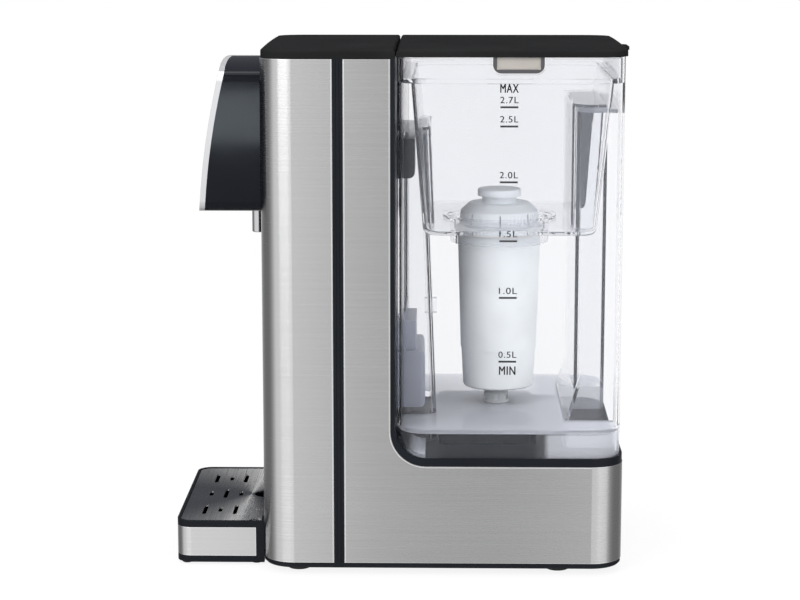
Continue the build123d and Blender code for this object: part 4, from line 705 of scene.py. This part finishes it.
def bead(form, path, side, steps=6):
    """Adds a quarter-round bead along a sheet's edge; the path holds x, z and the way out."""
    proud = EDGE_BEAD + BEAD_PROUD
    rows = []
    for x, z, out_x, out_z in path:
        row = []
        for i in range(steps + 1):
            a = math.pi / 2 * i / steps
            row.append(form.verts.new((
                x - EDGE_BEAD * out_x + proud * math.sin(a) * out_x,
                side * (SIDE_FACE - EDGE_BEAD + proud * math.cos(a)),
                z - EDGE_BEAD * out_z + proud * math.sin(a) * out_z,
            )))
        rows.append(row)
    for first, second in zip(rows, rows[1:]):
        for a, b, c, d in zip(first, first[1:], second[1:], second):
            face = form.faces.new((a, b, c, d) if side < 0 else (d, c, b, a))
            face.smooth = True


class DISPENSER_OT_edges(bpy.types.Operator):
    """Rounded folds along the steel's edges beside the strips and the tank, lighter than the sheet
    as a painted highlight
    """

    bl_idname = "dispenser.edges"
    bl_label = "Steel Edges"

    def execute(self, context):
        form = bmesh.new()
        front_low, front_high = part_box("front_wrap")
        rear_low, rear_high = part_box("rear_wrap")
        bend, turns = ELBOW_RADIUS, 12
        # down the post, round the elbow and along the deck
        path = [(POST_EDGE, rear_high.z, 1, 0)]
        for i in range(turns + 1):
            a = math.pi + math.pi / 2 * i / turns
            path.append((
                POST_EDGE + bend + bend * math.cos(a), DECK_EDGE + bend + bend * math.sin(a),
                -math.cos(a), -math.sin(a),
            ))
        path.append((rear_high.x - SIDE_CORNER, DECK_EDGE, 0, 1))
        for side in (-1, 1):
            bead(form, [(front_high.x, z, 1, 0) for z in (front_low.z, front_high.z)], side)
            bead(form, [(rear_low.x, z, -1, 0) for z in (rear_low.z, rear_high.z)], side)
            bead(form, path, side)
        # the folds are real rounding, and their lighter metal is a painted highlight along them
        bright = polished_metal("Steel Edge Painted Highlight", tuple(settings().steel_edge_highlight), 0.25)
        mesh_object("steel_edges", form, bright, "body")
        return {"FINISHED"}


# Finishes of the CAD nodes

class DISPENSER_OT_steel(bpy.types.Operator):
    """Brushed steel for the wraps, the tray's band and the drip plate"""

    bl_idname = "dispenser.steel"
    bl_label = "Steel Sheet"

    def execute(self, context):
        s = settings()
        level, across = (14.0, 14.0, 5200.0), (2400.0, 14.0, 14.0)
        sides = brushed_steel("Brushed Steel", tuple(s.steel), s.steel_rough, level)
        dress(sides, "front_wrap", "rear_wrap", "tray_band")
        plate_tint, plate_rough = shade(s.steel, 0.95), s.steel_rough * 1.1
        dress(brushed_steel("Drip Plate Steel", plate_tint, plate_rough, across), "tray_plate")
        return {"FINISHED"}


class DISPENSER_OT_black(bpy.types.Operator):
    """Black mouldings: covers, base, cup bay, cradle, tray and strips"""

    bl_idname = "dispenser.black"
    bl_label = "Black Mouldings"

    def execute(self, context):
        s = settings()
        black = tuple(s.black)
        covers = moulded_plastic("Cover Black", tuple(s.cover_black), 0.6, 0.14, specular=0.004)
        dress(covers, "top_cover", "tank_lid")
        matte = moulded_plastic("Matte Black", black, 0.44, 0.18, specular=0.12)
        dress(matte, "base_pan", "base_shell", "column_shell", "cup_bay", "tray_basin", "pump_mount")
        dress(matte, "side_strip_left", "side_strip_right", "cable_gland", "gland_nut")
        cradle = moulded_plastic("Cradle Black", black, 0.30, 0.08, specular=0.12)
        dress(cradle, "tank_cradle", "valve_socket")
        return {"FINISHED"}


class DISPENSER_OT_head(bpy.types.Operator):
    """Spout head: polished housing, smoked panel, bright bezel and spout"""

    bl_idname = "dispenser.head"
    bl_label = "Spout Head"

    def execute(self, context):
        s = settings()
        gloss = moulded_plastic("Polished Black", tuple(s.gloss_black), 0.035, 0.01, specular=0.09)
        dress(gloss, "head_housing")
        panel = moulded_plastic("Smoked Panel", tuple(s.panel), 0.05, 0.01, specular=0.4)
        dress(panel, "control_glass")
        dress(polished_metal("Bright Bezel", shade(s.chrome, 1.1), 0.38), "head_bezel")
        dress(polished_metal("Bright Spout", shade(s.chrome, 0.95), 0.16), "nozzle")
        return {"FINISHED"}


class DISPENSER_OT_tank(bpy.types.Operator):
    """Clear tank and funnel, smoked grips and the tank's valve"""

    bl_idname = "dispenser.tank"
    bl_label = "Clear Tank"

    def execute(self, context):
        s = settings()
        clear = tuple(s.clear)
        dress(clear_plastic("Clear Tank", clear, 0.40, TANK_FOOT), "water_tank")
        dress(clear_plastic("Clear Funnel", clear, 0.10), "filter_funnel")
        dress(self.grip(s), "lid_grips")
        valve = moulded_plastic("Valve White", shade(s.filter_white, 0.75), 0.35, 0.08)
        dress(valve, "valve_body", "valve_cap", "valve_stem")
        dress(polished_metal("Spring Wire", (0.5, 0.5, 0.5), 0.28), "valve_spring")
        dress(rubber_skin("Valve Rubber", tuple(s.rubber)), "valve_seal")
        silicone = rubber_skin("Silicone", (0.62, 0.61, 0.57), 0.5)
        dress(silicone, "socket_seal", "filter_gasket", "inlet_tube", "pump_tube", "outlet_tube")
        smoked = moulded_plastic("Smoked Sensor Cover", (0.36, 0.38, 0.45), 0.3, 0.06, specular=0.3)
        dress(smoked, "sensor_cover")
        return {"FINISHED"}

    def grip(self, s):
        """Smoked grip whose sunk panel is lighter than its border."""
        material = moulded_plastic("Smoked Grip", tuple(s.smoked), 0.22, 0.05)
        tree = material.node_tree
        shader = tree.nodes["Principled BSDF"]
        low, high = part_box("lid_grips")
        middle, half = (low.x + high.x) / 2, (high.x - low.x) / 2
        at = split(tree, place_on(tree))
        aside = math_node(tree, "ABSOLUTE", math_node(tree, "SUBTRACT", at["X"], middle))
        ends = math_node(tree, "SUBTRACT", half - GRIP_BORDER, aside)
        foot = math_node(tree, "SUBTRACT", at["Z"], low.z + GRIP_BORDER)
        panel = spread(tree, math_node(tree, "MINIMUM", ends, foot), -0.0001, 0.0002)
        plain = shader.inputs["Base Color"].links[0].from_socket
        tree.links.new(mixed(tree, panel, tuple(s.smoked_rim), plain), shader.inputs["Base Color"])
        return material


class DISPENSER_OT_filter(bpy.types.Operator):
    """White filter cartridge with its slotted cap"""

    bl_idname = "dispenser.filter"
    bl_label = "Filter"

    def execute(self, context):
        white = tuple(settings().filter_white)
        cartridge = moulded_plastic(
            "Filter White", white, 0.42, 0.08, specular=0.3, grain_scale=1400.0
        )
        dress(cartridge, "filter_cartridge")
        dress(self.cap(shade(white, 1.03)), "filter_cap")
        return {"FINISHED"}

    def cap(self, white):
        """White cap with painted shade where its slits go through the wall."""
        material = moulded_plastic("Filter Cap White", white, 0.38, 0.06, specular=0.3)
        tree = material.node_tree
        shader = tree.nodes["Principled BSDF"]
        low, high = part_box("filter_cap")
        at = split(tree, place_on(tree))
        along = math_node(tree, "SUBTRACT", at["X"], (low.x + high.x) / 2)
        turn = math_node(tree, "ARCTAN2", at["Y"], along)
        step = math_node(tree, "MULTIPLY", turn, CAP_SLITS / math.tau)
        off_centre = math_node(tree, "SUBTRACT", step, math_node(tree, "ROUND", step))
        slit = spread(tree, math_node(tree, "ABSOLUTE", off_centre), 0.026, 0.018)
        wall_low, wall_high = CAP_SLIT_HEIGHTS
        inside = math_node(
            tree, "MULTIPLY", spread(tree, at["Z"], wall_low, wall_low + 0.0005),
            spread(tree, at["Z"], wall_high, wall_high - 0.0005),
        )
        # painted shade: the cap is darkened at the slits as if shaded inside
        slit_shade = math_node(tree, "MULTIPLY", slit, inside)
        plain = shader.inputs["Base Color"].links[0].from_socket
        tree.links.new(mixed(tree, slit_shade, plain, (0.16, 0.18, 0.19)), shader.inputs["Base Color"])
        return material


class DISPENSER_OT_works(bpy.types.Operator):
    """Feet, screws and the works inside: pump, heater and boards"""

    bl_idname = "dispenser.works"
    bl_label = "Feet and Works"

    def execute(self, context):
        s = settings()
        dress(rubber_skin("Foot Rubber", tuple(s.rubber)), "body_feet", "tray_feet")
        zinc = polished_metal("Zinc", (0.52, 0.52, 0.5), 0.35)
        dress(zinc, "base_screws", "head_screws", "heater_clamps", "pump_motor", "thermal_cutouts")
        even = (160.0, 160.0, 160.0)
        dress(brushed_steel("Cast Aluminium", (0.55, 0.56, 0.57), 0.45, even, False), "flow_heater")
        works = moulded_plastic("Works White", (0.62, 0.62, 0.6), 0.4)
        dress(works, "pump_housing", "pump_impeller", "heater_caps")
        dress(moulded_plastic("Elbow Grey", (0.35, 0.35, 0.34), 0.35), "nozzle_elbow")
        dress(circuit_coat("Circuit Board"), "control_board", "sensor_board", "power_board")
        dress(moulded_plastic("Dark Components", (0.02, 0.02, 0.022), 0.35), "board_parts")
        return {"FINISHED"}


# Stage

SUBJECT = (0.0, 0.0, 0.14)
# name, place, aim, width and height, and power of the lamps that light everything
STUDIO_LAMPS = (
    ("Key", (-0.75, -1.10, 1.05), SUBJECT, (0.9, 0.9), 13.0),
    ("Fill", (1.10, -1.00, 0.80), SUBJECT, (1.0, 1.0), 6.0),
    ("Top", (0.05, 0.15, 1.35), (0.0, 0.0, 0.10), (1.1, 1.1), 9.0),
)
# a small card square to the head's side, which alone it lights
HEAD_CARD = ("Head Card", (-0.215, -1.10, 0.177), (-0.215, 0.0, 0.177), (0.12, 0.056), 0.25)
HEAD_CARD_COLOUR = (0.82, 0.93, 1.0)

# brightness of the cards round the object, by degrees from the side that the camera sees
STUDIO_CARDS = (
    (-150, 0.48), (-130, 0.32), (-98, 0.30), (-85, 0.55), (-68, 1.25), (-14, 1.32), (-6, 1.42),
    (-3.9, 1.42), (-3.4, 1.22), (-3.0, 0.92), (-2.4, 0.70), (3.4, 0.66), (4.6, 0.98), (7, 1.20),
    (25, 1.25), (58, 1.10), (80, 0.45), (95, 0.30), (130, 0.32), (150, 0.48),
)
DARK_WALL = (0.10, 0.105, 0.12)
CEILING = (0.9, 0.9, 0.9)
ROOM_LIGHT = (0.85, 0.85, 0.86)


class DISPENSER_OT_stage(bpy.types.Operator):
    """Camera, plain floor, backdrop and soft lights"""

    bl_idname = "dispenser.stage"
    bl_label = "Studio"

    def execute(self, context):
        scene = context.scene
        st = scene.dispenser_stage
        lens = bpy.data.cameras.new("Camera")
        lens.lens = st.lens
        lens.sensor_width = 36.0
        lens.sensor_fit = "HORIZONTAL"
        lens.clip_start = 0.05
        lens.clip_end = 60.0
        camera = bpy.data.objects.new("Camera", lens)
        camera.location = st.camera_place
        camera.rotation_euler = (math.pi / 2 - st.pitch, 0, st.yaw)
        scene.collection.objects.link(camera)
        scene.camera = camera
        self.floor(scene, st)
        self.world(scene, st)
        for lamp in STUDIO_LAMPS:
            self.lamp(scene, *lamp)
        card = self.lamp(scene, *HEAD_CARD)
        card.data.color = HEAD_CARD_COLOUR
        lit = bpy.data.collections.new("Head Card Receivers")
        lit.objects.link(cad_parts["head_housing"])
        card.light_linking.receiver_collection = lit
        scene.view_settings.view_transform = "Standard"
        return {"FINISHED"}

    def lamp(self, scene, name, place, aim, size, power):
        """Hangs a soft rectangular lamp that looks at a point."""
        light = bpy.data.lights.new(name, "AREA")
        light.shape = "RECTANGLE"
        light.size, light.size_y = size
        light.energy = power
        lamp = bpy.data.objects.new(name, light)
        lamp.location = place
        lamp.rotation_euler = (Vector(aim) - Vector(place)).to_track_quat("-Z", "Y").to_euler()
        scene.collection.objects.link(lamp)
        return lamp

    def floor(self, scene, st):
        """A wide plain floor that shows the backdrop's white but keeps the shadow."""
        form = bmesh.new()
        bmesh.ops.create_grid(form, x_segments=1, y_segments=1, size=6.0)
        mesh = bpy.data.meshes.new("studio_floor")
        form.to_mesh(mesh)
        form.free()
        floor = bpy.data.objects.new("studio_floor", mesh)
        scene.collection.objects.link(floor)
        material, tree, shader = start_material("Studio Floor")
        finish_material(tree, shader, Base_Color=(*st.floor, 1), Roughness=0.9, Specular=0.0)
        glow = tree.nodes.new("ShaderNodeEmission")
        glow.inputs["Color"].default_value = (*st.backdrop, 1)
        ray = tree.nodes.new("ShaderNodeLightPath").outputs
        seen = math_node(tree, "MAXIMUM", ray["Is Camera Ray"], ray["Is Transmission Ray"])
        away = tree.nodes.new("ShaderNodeVectorMath")
        away.operation = "LENGTH"
        tree.links.new(place_on(tree), away.inputs[0])
        glowing = spread(tree, away.outputs["Value"], 0.18, 0.75, st.floor_glow, 1.0)
        plain = blended(
            tree, math_node(tree, "MULTIPLY", seen, glowing), shader.outputs[0], glow.outputs[0]
        )
        # a reflection looks through the floor, at the cards
        cards = tree.nodes.new("ShaderNodeBsdfTransparent")
        surface = blended(tree, ray["Is Glossy Ray"], plain, cards.outputs[0])
        tree.links.new(surface, tree.nodes["Material Output"].inputs["Surface"])
        mesh.materials.append(material)

    def world(self, scene, st):
        """White to the eye and in glass; a plain studio gradient in reflections and light."""
        world = bpy.data.worlds.new("Studio")
        scene.world = world
        world.use_nodes = True
        tree = world.node_tree
        ray = tree.nodes.new("ShaderNodeLightPath").outputs
        white = math_node(tree, "MAXIMUM", ray["Is Camera Ray"], ray["Is Transmission Ray"])
        way = split(tree, tree.nodes.new("ShaderNodeTexCoord").outputs["Generated"])
        angle = math_node(tree, "ARCTAN2", way["X"], math_node(tree, "MULTIPLY", way["Y"], -1.0))
        around = tree.nodes.new("ShaderNodeValToRGB")
        stops = around.color_ramp
        stops.elements[0].color = stops.elements[1].color = (1.0, 1.0, 1.0, 1)
        for at, level in STUDIO_CARDS:
            stop = stops.elements.new((at + 180) / 360)
            stop.color = (level, level, level * 1.01, 1)
        tree.links.new(spread(tree, angle, -math.pi, math.pi), around.inputs["Fac"])
        behind = spread(tree, way["Y"], 0.2, 0.5)
        raised = spread(tree, way["Z"], -0.01, 0.03)
        wall = math_node(tree, "MULTIPLY", behind, raised)
        level = mixed(tree, wall, around.outputs["Color"], DARK_WALL)
        # the cards darken towards the floor and give way to the ceiling
        low = spread(tree, way["Z"], -0.30, -0.12, 0.20, 0.0)
        level = mixed(tree, low, level, (0.0, 0.0, 0.0))
        level = mixed(tree, spread(tree, way["Z"], 0.45, 0.85), level, CEILING)
        glossy = mixed(tree, ray["Is Glossy Ray"], ROOM_LIGHT, level)
        final = mixed(tree, white, glossy, tuple(st.backdrop))
        tree.links.new(final, tree.nodes["Background"].inputs["Color"])


class DISPENSER_PT_panel(bpy.types.Panel):
    """Lists the dispenser's pieces and settings"""

    bl_idname = "DISPENSER_PT_panel"
    bl_label = "Hot Water Dispenser"
    bl_space_type = "VIEW_3D"
    bl_region_type = "UI"
    bl_category = "Dispenser"

    def draw(self, context):
        layout = self.layout
        for operator in OPERATORS:
            layout.operator(operator.bl_idname)
        for owner in (settings(), marks(), context.scene.dispenser_stage):
            box = layout.box()
            for name in owner.bl_rna.properties.keys():
                if name not in ("rna_type", "name"):
                    box.prop(owner, name)


OPERATORS = (
    DISPENSER_OT_stage, DISPENSER_OT_steel, DISPENSER_OT_edges, DISPENSER_OT_black,
    DISPENSER_OT_head, DISPENSER_OT_tank, DISPENSER_OT_filter, DISPENSER_OT_works,
    DISPENSER_OT_scale, DISPENSER_OT_panel,
)
CLASSES = (DispenserFinishes, DispenserMarks, DispenserStage, *OPERATORS, DISPENSER_PT_panel)


def register():
    for item in CLASSES:
        bpy.utils.register_class(item)
    bpy.types.Scene.dispenser_finishes = PointerProperty(type=DispenserFinishes)
    bpy.types.Scene.dispenser_marks = PointerProperty(type=DispenserMarks)
    bpy.types.Scene.dispenser_stage = PointerProperty(type=DispenserStage)


def unregister():
    del bpy.types.Scene.dispenser_stage
    del bpy.types.Scene.dispenser_marks
    del bpy.types.Scene.dispenser_finishes
    for item in reversed(CLASSES):
        bpy.utils.unregister_class(item)


def main():
    register()
    for operator in OPERATORS:
        getattr(bpy.ops.dispenser, operator.bl_idname.split(".")[1])()


if __name__ == "__main__":
    main()
